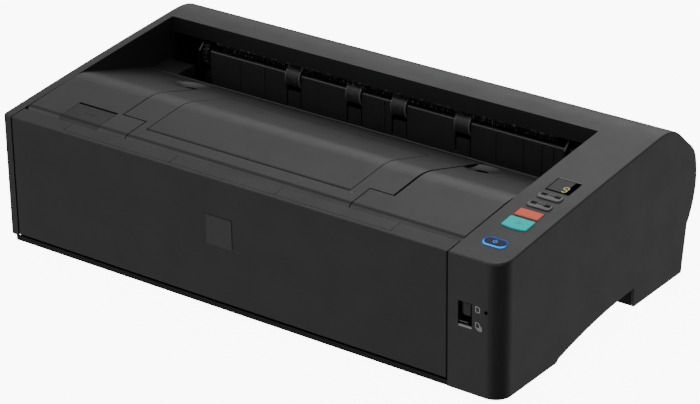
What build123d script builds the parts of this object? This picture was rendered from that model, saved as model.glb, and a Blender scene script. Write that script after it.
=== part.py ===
from build123d import *
from math import atan, cos, degrees, hypot, pi, radians, sin
import os

# Document scanner with a closed feed tray, in millimetres.
# X runs to the right seen from the front, Y to the rear and Z up; the origin is on the floor below the middle.

# Case
WIDTH = 424.0
DEPTH = 246.0
FRONT_HEIGHT = 100.4
CREST_HEIGHT = 120.2
CREST_FROM_REAR = 47.0
FLOOR_GAP = 3.3
WALL = 2.5
TOP_CROWN = 0.8
EDGE_ROUND = 1.4
RIGHT_CORNER = 12.0
LEFT_CORNER = 4.0
REAR_STEP_HEIGHT = 36.7
REAR_STEP_INSET = 11.8
REAR_FOOT_INSET = 16.8
REAR_BULGE_HEIGHT = 69.0
FRONT = -DEPTH / 2
REAR = DEPTH / 2
LEFT = -WIDTH / 2
RIGHT = WIDTH / 2
CREST_Y = REAR - CREST_FROM_REAR

# Bay of the case for the upper unit and the feed tray
RAIL_WIDTH = 8.2
COLUMN_WIDTH = 41.5
INNER_WALL = 2.0
BRIDGE_DEPTH = 65.7
BRIDGE_LIP_HEIGHT = 12.2
SEAM = 0.8
BAY_LEFT = LEFT + RAIL_WIDTH
BAY_RIGHT = RIGHT - COLUMN_WIDTH
BAY_REAR = REAR - BRIDGE_DEPTH
BAY = (BAY_LEFT + SEAM, BAY_RIGHT - SEAM)
CENTRE = (BAY_LEFT + BAY_RIGHT) / 2

# Width of the paper path and of the steel sides beside it
SIDE_ROOM = 35.15
PAPER_MARGIN = 1.0
FRAME_MARGIN = 9.0
ARM_MARGIN = 4.0
SIDE_SHEET = 1.5
PAPER_WIDTH = BAY_RIGHT - BAY_LEFT - 2 * SIDE_ROOM
GUIDE_SPAN = (CENTRE - PAPER_WIDTH / 2 - PAPER_MARGIN, CENTRE + PAPER_WIDTH / 2 + PAPER_MARGIN)
SIDE_LEFT = CENTRE - PAPER_WIDTH / 2 - FRAME_MARGIN
SIDE_RIGHT = CENTRE + PAPER_WIDTH / 2 + FRAME_MARGIN
ARM_LEFT = SIDE_LEFT - ARM_MARGIN
ARM_RIGHT = SIDE_RIGHT + ARM_MARGIN

# Base, feet, hand grips and screws
BASE_SHEET = 2.5
SILL_HEIGHT = 4.0
BASE_RIM = 9.0
RAIL_FOOT_RISE = 4.2
FOOT_RADIUS = 8.0
FOOT_INSET_X = 34.0
FOOT_INSET_Y = 30.0
GRIP_FRONT = FRONT + 65.3
GRIP_REAR = REAR - 81.0
GRIP_RISE = 14.5
GRIP_DEPTH = 16.0
GRIP_SHEET = 1.5
GRIP_Y = (GRIP_FRONT + 4.0, GRIP_REAR)
GRIP_CEILING = FLOOR_GAP + GRIP_RISE + 2.0
FLOOR_TOP = FLOOR_GAP + BASE_SHEET
SCREW_HEAD = (2.6, 1.4)
SCREW_BODY = (1.2, 5.0)
SCREW_SLOT = (0.8, 6.0, 0.5)
SCREW_X = (SIDE_LEFT - 6.0, SIDE_RIGHT + 10.0)
SCREW_Y = (FRONT + 30.0, FRONT + 83.0, REAR - 93.0, REAR - 38.0)

# Feed tray
TRAY_THICKNESS = 14.1
TRAY_FOOT = 8.55
TRAY_SKIN = 3.0
TRAY_PLATE = 3.0
TRAY_FLOOR = 4.5
TRAY_HINGE_SETBACK = 4.5
TRAY_HINGE_RISE = 3.45
TRAY_PIN_RADIUS = 1.6
TRAY_PIN_FIT = 0.06
EXTENSION_WIDTH = 280.0
INNER_EXTENSION_WIDTH = 90.0
EXTENSION_SKIN = 1.5
EXTENSION_FOOT = 3.0
EXTENSION_CAP = 3.0
SLIDE_GAP = 0.3
TRAY_X = BAY
TRAY_BACK = FRONT + TRAY_THICKNESS
TRAY_AXIS = (FRONT + TRAY_HINGE_SETBACK, TRAY_FOOT + TRAY_HINGE_RISE)
POCKET_X = (CENTRE - EXTENSION_WIDTH / 2 - SLIDE_GAP, CENTRE + EXTENSION_WIDTH / 2 + SLIDE_GAP)
SKIN_BACK = FRONT + TRAY_SKIN
PLATE_FRONT = TRAY_BACK - TRAY_PLATE
CAP_FOOT = FRONT_HEIGHT - EXTENSION_CAP
BADGE_SIZE = 22.0
BADGE_HEIGHT = 62.0
BADGE_SHEET = 0.4

# Paper guides, their racks and the pinion between them
GUIDE_HEIGHT = 20.0
GUIDE_LENGTH = 27.0
GUIDE_WALL = 2.0
GUIDE_FOOT = 24.0
GUIDE_HALF_REST = 108.0
GUIDE_HALF_MAX = PAPER_WIDTH / 2
RACK_Z = (27.7, 40.3)
RACK_MODULE = 1.0
RACK_DEPTH = 2.2
RACK_GAP = 0.2
PINION_RADIUS = 4.0
PINION_PIN = 1.4

# Paper path
PATH_HEIGHT = 25.0
MOUTH_HEIGHT = 17.5
MOUTH_END = FRONT + 0.142 * DEPTH
RAMP_END = FRONT + 0.297 * DEPTH
TURN_RADIUS = 39.0
TURN_CENTRE = (REAR - 57.0, PATH_HEIGHT + TURN_RADIUS)
PATH_HALF_GAP = 1.0
GUIDE_SHEET = 1.5
PLATE_SHEET = 2.0
SENSOR_Y = (FRONT + 0.419 * DEPTH, FRONT + 0.524 * DEPTH)
SENSOR_BODY = 13.5
SENSOR_ROUND = 2.0
SENSOR_GLASS_INSET = 3.3

# Drive
ROLLER_RADIUS = 9.0
ROLLER_WIDTH = 12.0
ROLLER_RIM = 0.5
ROLLER_OFFSETS = (-75.0, -20.0, 20.0, 75.0)
SHAFT_RADIUS = 3.0
THIN_RADIUS = 1.5
IDLER_RADIUS = 5.0
NIP_GAP = 0.3
TURN_ROLLER_ANGLE = -20.0
SHAFT_FIT = 0.05
GEAR_MODULE = 1.0
GEAR_THICKNESS = 4.8
SHAFT_TEETH = 18
IDLER_TEETH = 32
PINION_TEETH = 12
GEAR_BACKLASH = 0.3
LOWER_DRIVES = {"registration": FRONT + 0.370 * DEPTH, "reading": FRONT + 0.573 * DEPTH}
LOWER_AXIS_Z = PATH_HEIGHT + 0.2 - ROLLER_RADIUS
UPPER_IDLER_Z = PATH_HEIGHT + 0.2 + NIP_GAP + IDLER_RADIUS
PULLEY_RADIUS = 6.0
BELT_SHEET = 1.2
BELT_GAP = 0.1
GEAR_X = (SIDE_LEFT + SIDE_SHEET + 0.4, SIDE_LEFT + SIDE_SHEET + 0.4 + GEAR_THICKNESS)

# Separation of the sheets
SEPARATION_Y = FRONT + 0.248 * DEPTH
PICKUP_Y = MOUTH_END
FEED_ROLLER_RADIUS = 11.0
PICKUP_SHAFT = 2.0
RETARD_RADIUS = 7.0
FEED_OFFSETS = (-15.0, 15.0)
RETARD_PIVOT = (SEPARATION_Y - 20.0, 11.0)
RETARD_HALF = 17.5
RETARD_REACH = 21.0
HOLDER_HALF = 25.5
HOLDER_RISE = 16.0

# Upper unit
COVER_SHEET = 2.5
COVER_FRONT = TRAY_BACK + 1.5
COVER_ROLL = 6.5
COVER_REAR = REAR - 96.0
COVER_FRONT_FOOT = 64.0
COVER_FLANGE = 14.0
RIDGE_Y = FRONT + 76.0
RIDGE_PROUD = 0.5
RIDGE_ROUND = 45.0
DESCENT_SLOPE = 0.287
REAR_LIP = 1.5
REAR_LIP_PROUD = 0.5
SCOOP_RADIUS = 36.0
SCOOP_DEPTH = 1.4
SCOOP_FROM_TRAY = 11.0
UNIT_HINGE_Y = REAR - 65.0
UNIT_HINGE_Z = 44.0
UNIT_PIN_RADIUS = 3.0
SHOULDER_REAR = REAR - 71.0
SHOULDER_FOOT = 78.0
SHOULDER_DROP = 1.0
SHOULDER_GAP = 0.7
PATH_PLATE_FRONT = MOUTH_END + 4.0
BEAM_Y = RAMP_END + 8.0
BEAM_TOP = 84.0

# Open lever
LEVER_LEFT = BAY_LEFT + 31.1
LEVER_RIGHT = LEVER_LEFT + 34.7
LEVER_REAR = FRONT + 39.0
LEVER_FOOT = 97.0
LEVER_REAR_GAP = 1.2

# Eject tray and its stopper
EJECT_SHEET = 3.0
EJECT_BED_GAP = 0.4
EJECT_BED_SHEET = 2.0
EJECT_LEFT = LEVER_RIGHT + 4.7
EJECT_RIGHT = BAY_RIGHT - 71.5
EJECT_NECK_LEFT = EJECT_LEFT + 21.3
EJECT_NECK_RIGHT = EJECT_RIGHT - 19.0
EJECT_NECK_END = FRONT + 41.0
EJECT_REAR = COVER_REAR - 4.5
EJECT_RIGHT_GAP = 1.7
EJECT_END_GAP = 1.0
NECK_FOOT = 96.0
STOPPER_LEFT = EJECT_LEFT + 28.6
STOPPER_RIGHT = EJECT_RIGHT - 29.3
STOPPER_FRONT = FRONT + 33.0
STOPPER_REAR = COVER_REAR - 27.0
STOPPER_SIDE_GAP = 0.6
STOPPER_END_GAP = 1.5
HINGE_DEPTH = 1.4
HINGE_PIN = 0.9
FLAP_SHEET = 2 * HINGE_DEPTH - 0.2
UNDER_TRAY = 50.0

# Operation panel: place from the front, width along X and length along Y of each piece on the column
PANEL_X = RIGHT - 21.0
DISPLAY_Y = FRONT + 103.8
DISPLAY_SIZE = (18.4, 16.6)
DISPLAY_GAP = 0.1
BYPASS_Y = FRONT + 87.6
BYPASS_SIZE = (18.2, 7.0)
COUNT_Y = FRONT + 75.0
COUNT_SIZE = (18.2, 6.6)
STOP_Y = FRONT + 62.7
STOP_SIZE = (18.0, 8.6)
START_Y = FRONT + 50.0
START_SIZE = (19.0, 12.0)
START_BOW = 1.3
POWER_Y = FRONT + 23.0
POWER_SIZE = (15.0, 6.4)
RING_WIDTH = 1.2
RING_HEIGHT = 4.0
BUTTON_GAP = 0.25
BUTTON_PROUD = 0.9
BUTTON_DEPTH = 5.0
BUTTON_TRAVEL = 0.8
SOFT_CORNER = 2.4
FIRM_CORNER = 0.9
BUTTONS = {
    "bypass_button": (BYPASS_Y, BYPASS_SIZE, SOFT_CORNER, 0.0),
    "count_button": (COUNT_Y, COUNT_SIZE, SOFT_CORNER, 0.0),
    "stop_button": (STOP_Y, STOP_SIZE, FIRM_CORNER, 0.0),
    "start_button": (START_Y, START_SIZE, FIRM_CORNER, START_BOW),
}

# Feed selector and indicator on the front of the column
SELECTOR_X = RIGHT - 28.2
SELECTOR_FOOT = 50.3
KNOB_SIZE = (6.0, 8.6)
KNOB_PROUD = 0.6
KNOB_TRAVEL = 8.0
SELECTOR_SLOT = (10.8, KNOB_SIZE[1] + KNOB_TRAVEL + 1.4)
SHOE_SHEET = 2.0
INDICATOR_X = RIGHT - 12.2
INDICATOR_Z = 65.2
INDICATOR_RADIUS = 1.25

# Straight exit, inlet, port and boards
EXIT_FOOT = 9.0
EXIT_TOP = 34.5
EXIT_SHEET = 2.5
EXIT_SPAN = (GUIDE_SPAN[0] - 4.0, GUIDE_SPAN[1] + 4.0)
EXIT_PIN_RADIUS = 0.7
INLET_X = RIGHT - 20.0
INLET_SIZE = (15.0, 12.0)
INLET_Z = (FLOOR_GAP + 6.5, FLOOR_GAP + 6.5 + INLET_SIZE[1])
INLET_BORE = 4.0
INLET_PIN = 1.0
PORT_X = RIGHT - 20.0
PORT_SIZE = (12.2, 11.0)
PORT_Z = (REAR_STEP_HEIGHT + 14.0, REAR_STEP_HEIGHT + 14.0 + PORT_SIZE[1])
PORT_CAVITY = 9.0
CONNECTOR_DEPTH = 16.0
BOARD_THICKNESS = 1.6
BOARD_HEIGHT = 40.0
BOARD_POST = 2.0

# Recess: guide plate and brush
PLATE_Y = BAY_REAR + 1.9
PLATE_TOP = 97.8
PLATE_FOOT = 45.0
PLATE_RIM = 3.0
TAB_TOP = 83.5
TAB_FOOT = 71.0
TAB_GAP = 1.4
RIB_SHARES = (-0.825, -0.674, 0.044, 0.675, 0.824, 0.925, 0.987)
RIB_WIDTH = 1.2
RIB_LENGTH = 22.8
BRUSH_X = (GUIDE_SPAN[0] + 8.0, GUIDE_SPAN[1] + 2.0)
BRUSH_STRIP = 1.2
BRISTLES = 150
BRISTLE_ROWS = 2
BRISTLE_LENGTH = 4.0
BRISTLE_WIDTH = 0.35

# Reach of the tall blocks that cut right through
BIG = 400.0


def span(x, y, z):
    """A block from its low and high limit on each axis."""
    centre = [(low + high) / 2 for low, high in (x, y, z)]
    return Pos(*centre) * Box(x[1] - x[0], y[1] - y[0], z[1] - z[0])


def slab(x, face):
    """A face drawn in Y and Z, carried along X from one limit to the other."""
    return Pos(x[0], 0, 0) * extrude(Plane.YZ * face, amount=x[1] - x[0])


def outline(*points):
    """A closed face through points, each a Y and a Z."""
    return make_face(Polyline(*points, close=True))


def bar(x, centre, radius):
    """A round bar along X, with its axis at a Y and a Z."""
    middle = (x[0] + x[1]) / 2
    return Pos(middle, *centre) * Rot(0, 90, 0) * Cylinder(radius, x[1] - x[0])


def top_height(y):
    """Height of the top of the case: a straight rise to the crest with a slight crown."""
    share = (y - FRONT) / (CREST_Y - FRONT)
    return FRONT_HEIGHT + (CREST_HEIGHT - FRONT_HEIGHT) * share + 4 * TOP_CROWN * share * (1 - share)


def top_angle(y):
    """Slope of the top of the case, in degrees."""
    length = CREST_Y - FRONT
    share = (y - FRONT) / length
    return degrees(atan((CREST_HEIGHT - FRONT_HEIGHT + 4 * TOP_CROWN * (1 - 2 * share)) / length))


def case_outline(inset=0.0):
    """Side outline: upright front, rising top, round rear and a step above the lower rear wall."""
    bend = CREST_Y - 14.0
    middle = (FRONT + bend) / 2
    heart = (CREST_Y - 6.0, REAR_BULGE_HEIGHT)

    def inward(y, z):
        """The point moved towards the middle of the round rear by the inset."""
        share = inset / hypot(heart[0] - y, heart[1] - z)
        return (y + (heart[0] - y) * share, z + (heart[1] - z) * share)

    front = FRONT + inset
    roof = FRONT_HEIGHT - inset
    bulge = inward(REAR, heart[1])
    step = (REAR - REAR_STEP_INSET - inset, REAR_STEP_HEIGHT + inset / 2)
    foot = (REAR - REAR_FOOT_INSET - inset, FLOOR_GAP - inset)
    shoulder = (bend, top_height(bend) - inset)
    top = ThreePointArc((front, roof), (middle, top_height(middle) - inset), shoulder)
    crest = inward(CREST_Y + 14.5, CREST_HEIGHT - 3.5)
    flank = inward(REAR - 13.9, CREST_HEIGHT - 18.1)
    round_top = Spline(shoulder, crest, flank, bulge, tangents=[(1, 0.09), (0, -1)])
    hollow = ThreePointArc(bulge, inward(REAR - 3.4, (bulge[1] + REAR_STEP_HEIGHT) / 2 - 0.4), step)
    lower = Polyline(step, foot, (front, FLOOR_GAP - inset), (front, roof))
    return make_face([top, round_top, hollow, lower])


def case_block(inset=0.0):
    """The whole case as a solid, or its hollow when inset by the wall."""
    block = slab((LEFT + inset, RIGHT - inset), case_outline(inset))
    uprights = block.edges().filter_by(Axis.Z).group_by(Axis.Y)[0].sort_by(Axis.X)
    block = fillet(uprights[0], LEFT_CORNER - inset)
    uprights = block.edges().filter_by(Axis.Z).group_by(Axis.Y)[0].sort_by(Axis.X)
    return fillet(uprights[-1], RIGHT_CORNER - inset)


def on_panel(y, piece, lift=0.0):
    """A piece drawn about the origin, laid on the operation panel at a Y."""
    return Pos(PANEL_X, y, top_height(y)) * Rot(top_angle(y), 0, 0) * Pos(0, 0, lift) * piece


def key_face(size, corner, bow=0.0, gap=0.0):
    """A key seen from above: a rectangle with round corners, whose front edge may bow forwards."""
    x = size[0] / 2 + gap
    y = size[1] / 2 + gap
    sides = Polyline((-x, -y), (-x, y), (x, y), (x, -y))
    front = ThreePointArc((x, -y), (0, -y - bow), (-x, -y)) if bow else Line((x, -y), (-x, -y))
    face = make_face([sides, front])
    return fillet(face.vertices(), corner + gap) if corner else face


def panel_hole(y, size, corner, bow=0.0, gap=BUTTON_GAP):
    """The well for a button or the display in the operation panel."""
    return on_panel(y, extrude(key_face(size, corner, bow, gap), amount=6 * WALL), -3 * WALL)


def grip_arch(x):
    """The arched hand hold below one side wall."""
    rise = FLOOR_GAP + GRIP_RISE
    front = (GRIP_FRONT, FLOOR_GAP - 1)
    kink = (GRIP_FRONT + 4.0, FLOOR_GAP + 2.2)
    top = ThreePointArc(kink, (GRIP_FRONT + 50.0, rise - 3.8), (GRIP_REAR, rise))
    rest = Polyline((GRIP_REAR, rise), (GRIP_REAR, FLOOR_GAP - 1), front, kink)
    return slab(x, make_face([top, rest]))


def rear_face_y(z):
    """Where the lower rear wall stands at a height."""
    share = (z - FLOOR_GAP) / (REAR_STEP_HEIGHT - FLOOR_GAP)
    return REAR - REAR_FOOT_INSET + (REAR_FOOT_INSET - REAR_STEP_INSET) * share


EXIT_AXIS = (rear_face_y(EXIT_FOOT) - EXIT_SHEET / 2, EXIT_FOOT + EXIT_SHEET / 2 + SLIDE_GAP)


def connector_y():
    """Depth limits of the inlet and the port, which end flush in the lower rear wall."""
    face = rear_face_y(EXIT_FOOT)
    return (face - CONNECTOR_DEPTH, face)


def outer_case():
    """One moulding: left rail, rear bridge and right column round the bay of the upper unit."""
    block = case_block()
    outer_edges = [
        edge
        for edge in block.edges()
        if edge.center().Z > REAR_STEP_HEIGHT and not (abs(edge.center().X) < BAY_RIGHT and edge.center().Y > 0)
    ]
    case = fillet(outer_edges, EDGE_ROUND) - case_block(WALL)
    case -= span((BAY_LEFT, BAY_RIGHT), (FRONT - 1, BAY_REAR), (-1, BIG))
    left_wall = span((BAY_LEFT - INNER_WALL, BAY_LEFT), (FRONT + WALL, BAY_REAR + INNER_WALL), (BASE_RIM, BIG))
    right_wall = span((BAY_RIGHT, BAY_RIGHT + INNER_WALL), (FRONT + WALL, BAY_REAR + INNER_WALL), (FLOOR_TOP, BIG))
    lip_foot = top_height(BAY_REAR) - BRIDGE_LIP_HEIGHT
    lip = span((BAY_LEFT - INNER_WALL, BAY_RIGHT + INNER_WALL), (BAY_REAR, BAY_REAR + INNER_WALL), (lip_foot, BIG))
    grip_room = (GRIP_Y[0] - GRIP_SHEET - 0.5, GRIP_Y[1] + GRIP_SHEET + 0.5)
    left_wall -= span((LEFT, BAY_LEFT + 1), grip_room, (0, GRIP_CEILING + GRIP_SHEET + 0.3))
    case += (left_wall + right_wall + lip) & case_block(WALL / 2)
    case -= span((LEFT - 1, BAY_LEFT), (FRONT - 1, REAR), (-1, FLOOR_GAP + RAIL_FOOT_RISE))
    case -= grip_arch((LEFT - 1, LEFT + WALL + 1)) + grip_arch((RIGHT - WALL - 1, RIGHT + 1))
    case -= panel_hole(DISPLAY_Y, DISPLAY_SIZE, 0.0, gap=DISPLAY_GAP)
    for y, size, corner, bow in BUTTONS.values():
        case -= panel_hole(y, size, corner, bow)
    case -= power_well(BUTTON_GAP + RING_WIDTH)
    slot_x = (SELECTOR_X - SELECTOR_SLOT[0] / 2, SELECTOR_X + SELECTOR_SLOT[0] / 2)
    case -= span(slot_x, (FRONT - 1, FRONT + WALL + 1), (SELECTOR_FOOT, SELECTOR_FOOT + SELECTOR_SLOT[1]))
    eye = Pos(INDICATOR_X, FRONT + WALL / 2, INDICATOR_Z) * Rot(90, 0, 0)
    case -= eye * Cylinder(INDICATOR_RADIUS + 0.05, 4 * WALL)
    for side in (BAY_LEFT, BAY_RIGHT):
        case -= bar((side - 3, side + 3), TRAY_AXIS, TRAY_PIN_RADIUS + TRAY_PIN_FIT)
    case -= span(EXIT_SPAN, (REAR - 25, REAR), (EXIT_FOOT, EXIT_TOP))
    case -= bar((EXIT_SPAN[0] - 2, EXIT_SPAN[1] + 2), EXIT_AXIS, EXIT_PIN_RADIUS + SHAFT_FIT)
    case -= span((INLET_X - INLET_SIZE[0] / 2, INLET_X + INLET_SIZE[0] / 2), (REAR - 25, REAR), INLET_Z)
    case -= span((PORT_X - PORT_SIZE[0] / 2, PORT_X + PORT_SIZE[0] / 2), (REAR - 25, REAR), PORT_Z)
    return case


def power_well(gap):
    """An upright oval through the panel round the power button."""
    face = SlotOverall(POWER_SIZE[0] + 2 * gap, POWER_SIZE[1] + 2 * gap)
    return on_panel(POWER_Y, extrude(face, amount=6 * WALL), -3 * WALL)


def panel_button(y, size, corner, bow):
    """A key with rounded top edges."""
    cap = extrude(key_face(size, corner, bow), amount=BUTTON_DEPTH)
    cap = fillet(cap.faces().sort_by(Axis.Z)[-1].edges(), BUTTON_PROUD * 0.7)
    return on_panel(y, cap, BUTTON_PROUD - BUTTON_DEPTH)


def power_button():
    """An oval cap, level with its ring."""
    face = SlotOverall(*POWER_SIZE)
    return on_panel(POWER_Y, extrude(face, amount=BUTTON_DEPTH), BUTTON_PROUD - BUTTON_DEPTH)


def power_ring():
    """The oval light guide that stands in the panel round the power button."""
    reach = BUTTON_GAP + RING_WIDTH
    wide = SlotOverall(POWER_SIZE[0] + 2 * reach, POWER_SIZE[1] + 2 * reach)
    hole = SlotOverall(POWER_SIZE[0] + 2 * BUTTON_GAP, POWER_SIZE[1] + 2 * BUTTON_GAP)
    return on_panel(POWER_Y, extrude(wide - hole, amount=RING_HEIGHT), BUTTON_PROUD - 0.5 - RING_HEIGHT)


def display_window():
    """The glass over the count display."""
    pane = Box(DISPLAY_SIZE[0], DISPLAY_SIZE[1], WALL)
    pane = fillet(pane.faces().sort_by(Axis.Z)[-1].edges(), 0.4)
    return on_panel(DISPLAY_Y, pane, 0.3 - WALL / 2)


def panel_board():
    """The board with the key switches below the operation panel, on two rails inside the column."""
    board_y = (POWER_Y - 12.0, DISPLAY_Y + 12.0)
    drop = BUTTON_DEPTH + BUTTON_TRAVEL + 1.0
    x = (BAY_RIGHT + INNER_WALL, RIGHT - WALL - 0.5)
    low = [(y, top_height(y) - drop - BOARD_THICKNESS) for y in board_y]
    high = [(y, top_height(y) - drop) for y in reversed(board_y)]
    return slab(x, outline(*low, *high))


def selector_knob():
    """The feed selector: a rounded knob in the slot with a stem and a guided shoe behind the wall."""
    x = (SELECTOR_X + SELECTOR_SLOT[0] / 2 - KNOB_SIZE[0] - 0.3, SELECTOR_X + SELECTOR_SLOT[0] / 2 - 0.3)
    top = SELECTOR_FOOT + SELECTOR_SLOT[1] - 0.3
    back = FRONT + WALL + SLIDE_GAP
    knob = span(x, (FRONT - KNOB_PROUD, back), (top - KNOB_SIZE[1], top))
    knob = fillet(knob.faces().sort_by(Axis.Y)[0].edges(), KNOB_PROUD - 0.1)
    shoe = span((x[0] - 3.0, x[1] + 3.0), (back, back + SHOE_SHEET), (top - KNOB_SIZE[1] - 1.0, top + 3.0))
    return knob + shoe


def indicator_lens():
    """The small round lens beside the feed selector."""
    lens = Cylinder(INDICATOR_RADIUS, WALL + 0.2)
    return Pos(INDICATOR_X, FRONT + WALL / 2, INDICATOR_Z) * Rot(90, 0, 0) * lens


def tray_clearance(reach):
    """The space that the foot of the feed tray sweeps about its hinge."""
    return bar((LEFT - 1, BAY_RIGHT), TRAY_AXIS, reach)


def base_tray():
    """The floor of the case, with the dark sill under the feed tray and the pockets of the hand grips."""
    rear = REAR - REAR_FOOT_INSET - WALL - 0.4
    left = BAY_LEFT - 2.2
    right = RIGHT - WALL - 0.4
    base = span((left, right), (FRONT + WALL + 0.4, rear), (FLOOR_GAP, FLOOR_TOP))
    corner = base.edges().filter_by(Axis.Z).group_by(Axis.Y)[0].sort_by(Axis.X)[-1]
    base = fillet(corner, RIGHT_CORNER - WALL)
    sill = span((left, BAY_RIGHT - 0.4), (FRONT + 0.4, FRONT + WALL + 1), (FLOOR_GAP, FLOOR_GAP + SILL_HEIGHT))
    base += sill - tray_clearance(hypot(TRAY_HINGE_SETBACK, TRAY_HINGE_RISE) + 0.5)
    base += span((left, left + INNER_WALL), (FRONT + WALL + 8.0, rear), (FLOOR_GAP, BASE_RIM))
    for edge, inward in ((right, -1), (left, 1)):
        wall_x = edge + inward * GRIP_DEPTH
        pocket = (sorted((wall_x, edge - inward)), GRIP_Y)
        scoop_x = sorted((wall_x + inward * GRIP_SHEET, edge))
        scoop_y = (GRIP_Y[0] - GRIP_SHEET, GRIP_Y[1] + GRIP_SHEET)
        base -= span(*pocket, (0, BASE_RIM + 1))
        base += span(scoop_x, scoop_y, (FLOOR_GAP, GRIP_CEILING + GRIP_SHEET)) - span(*pocket, (0, GRIP_CEILING))
    return base


def rubber_feet():
    """Four round feet under the base."""
    feet = []
    for x in (LEFT + FOOT_INSET_X, RIGHT - FOOT_INSET_X):
        for y in (FRONT + FOOT_INSET_Y, REAR - FOOT_INSET_Y):
            foot = Cylinder(FOOT_RADIUS, FLOOR_GAP)
            foot = chamfer(foot.faces().sort_by(Axis.Z)[0].edges(), 0.6)
            feet.append(Pos(x, y, FLOOR_GAP / 2) * foot)
    return Compound(children=feet)


def under_top(piece):
    """A piece cut level with the top of the case."""
    return piece & slab((LEFT, RIGHT), case_outline())


def feed_tray_cover():
    """The front panel, with the rails that hold the two extensions and its hinge pins."""
    body = span(TRAY_X, (FRONT, PLATE_FRONT), (TRAY_FOOT, BIG))
    body += span(TRAY_X, (PLATE_FRONT, TRAY_BACK), (CAP_FOOT, BIG))
    floor = TRAY_FOOT + TRAY_FLOOR
    body -= span(POCKET_X, (SKIN_BACK, TRAY_BACK + 1), (floor, BIG))
    for x in ((TRAY_X[0] + TRAY_SKIN, POCKET_X[0] - TRAY_SKIN), (POCKET_X[1] + TRAY_SKIN, TRAY_X[1] - TRAY_SKIN)):
        body -= span(x, (SKIN_BACK, PLATE_FRONT + 1), (floor, CAP_FOOT - 2.0))
    body = under_top(body)
    front = body.faces().filter_by(Axis.Y).sort_by(Axis.Y)[0]
    body = fillet(front.edges(), 0.8)
    for x in ((BAY_LEFT - INNER_WALL, TRAY_X[0]), (TRAY_X[1], BAY_RIGHT + INNER_WALL)):
        body += bar(x, TRAY_AXIS, TRAY_PIN_RADIUS)
    return body


def feed_tray_plate():
    """The inner face of the feed tray, with the channel for the racks of the paper guides."""
    plate = span(TRAY_X, (PLATE_FRONT, TRAY_BACK), (TRAY_AXIS[1], CAP_FOOT - SLIDE_GAP))
    reach = GUIDE_HALF_MAX + 12.0
    plate -= span((CENTRE - reach, CENTRE + reach), (TRAY_BACK - RACK_DEPTH, TRAY_BACK + 1), RACK_Z)
    pin = Cylinder(PINION_PIN, RACK_DEPTH, align=(Align.CENTER, Align.CENTER, Align.MIN))
    return plate + Pos(CENTRE, TRAY_BACK, sum(RACK_Z) / 2) * Rot(90, 0, 0) * pin


def feed_extension():
    """The wide extension: a flat plate in the feed tray with a full-depth cap."""
    x = (CENTRE - EXTENSION_WIDTH / 2, CENTRE + EXTENSION_WIDTH / 2)
    inner_x = (CENTRE - INNER_EXTENSION_WIDTH / 2 - SLIDE_GAP, CENTRE + INNER_EXTENSION_WIDTH / 2 + SLIDE_GAP)
    y = (SKIN_BACK + SLIDE_GAP, PLATE_FRONT - SLIDE_GAP)
    foot = TRAY_FOOT + TRAY_FLOOR + SLIDE_GAP
    plate = span(x, y, (foot, CAP_FOOT))
    plate -= span(inner_x, (y[0] + EXTENSION_SKIN, y[1] - EXTENSION_SKIN), (foot + EXTENSION_FOOT, BIG))
    cap = span(x, (y[0], TRAY_BACK), (CAP_FOOT, BIG)) - span(inner_x, (FRONT, TRAY_BACK + 1), (CAP_FOOT, BIG))
    return under_top(plate + cap)


def feed_extension_inner():
    """The narrow extension inside the wide one."""
    x = (CENTRE - INNER_EXTENSION_WIDTH / 2, CENTRE + INNER_EXTENSION_WIDTH / 2)
    y = (SKIN_BACK + SLIDE_GAP, PLATE_FRONT - SLIDE_GAP)
    inset = EXTENSION_SKIN + SLIDE_GAP
    foot = TRAY_FOOT + TRAY_FLOOR + EXTENSION_FOOT + 2 * SLIDE_GAP
    plate = span(x, (y[0] + inset, y[1] - inset), (foot, CAP_FOOT + 1))
    cap = span(x, (y[0], TRAY_BACK), (CAP_FOOT + SLIDE_GAP, BIG))
    return under_top(plate + cap)


def rack_outline(length, side, gap_at):
    """A toothed strip in X and Z from zero, with its teeth up or down and a gap at one place."""
    pitch = pi * RACK_MODULE
    first = (gap_at - 0.9 - pitch / 2) % pitch
    points = [(0, -side * 1.8), (0, -side * 0.8)]
    for tooth in range(int(length / pitch) - 1):
        start = tooth * pitch + first + 0.01
        for along, height in ((0.0, -0.8), (0.55, 0.6), (1.25, 0.6), (1.8, -0.8)):
            points.append((start + along, side * height))
    points += [(length, -side * 0.8), (length, -side * 1.8)]
    return points


def document_guide(side):
    """A paper guide at one side: upright wall, foot on the tray face and a rack in the channel."""
    wall_x = CENTRE + side * GUIDE_HALF_REST
    z = (MOUTH_HEIGHT + 2.5, MOUTH_HEIGHT + 2.5 + GUIDE_LENGTH)
    face = TRAY_BACK + SLIDE_GAP
    xs = sorted((wall_x, wall_x + side * GUIDE_WALL))
    wall = span(xs, (face, face + GUIDE_HEIGHT), z)
    wall = chamfer(wall.edges().filter_by(Axis.X).group_by(Axis.Y)[-1], 4.0)
    foot_x = sorted((wall_x, wall_x + side * GUIDE_FOOT))
    guide = wall + span(foot_x, (face, face + 1.5), z)
    length = GUIDE_HALF_MAX + 6.0
    pitch_z = sum(RACK_Z) / 2 + side * (PINION_RADIUS + RACK_GAP)
    points = rack_outline(length, -side, GUIDE_HALF_REST + 8.0)
    place = [(wall_x + side * 8 - side * x, pitch_z + z_off) for x, z_off in points]
    strip = extrude(Plane.XZ * make_face(Polyline(*place, close=True)), amount=1.5)
    guide += Pos(0, TRAY_BACK - 0.4, 0) * strip
    tie_x = sorted((wall_x + side * GUIDE_WALL, wall_x + side * 8))
    tie = span(tie_x, (TRAY_BACK - 1.9, face + 1), rack_tie_z(side))
    return guide + tie


def rack_tie_z(side):
    """Height limits of the block that ties a guide to its rack."""
    middle = sum(RACK_Z) / 2 + side * (PINION_RADIUS + RACK_GAP)
    return tuple(sorted((middle + side * 0.8, middle + side * 1.8)))


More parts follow.
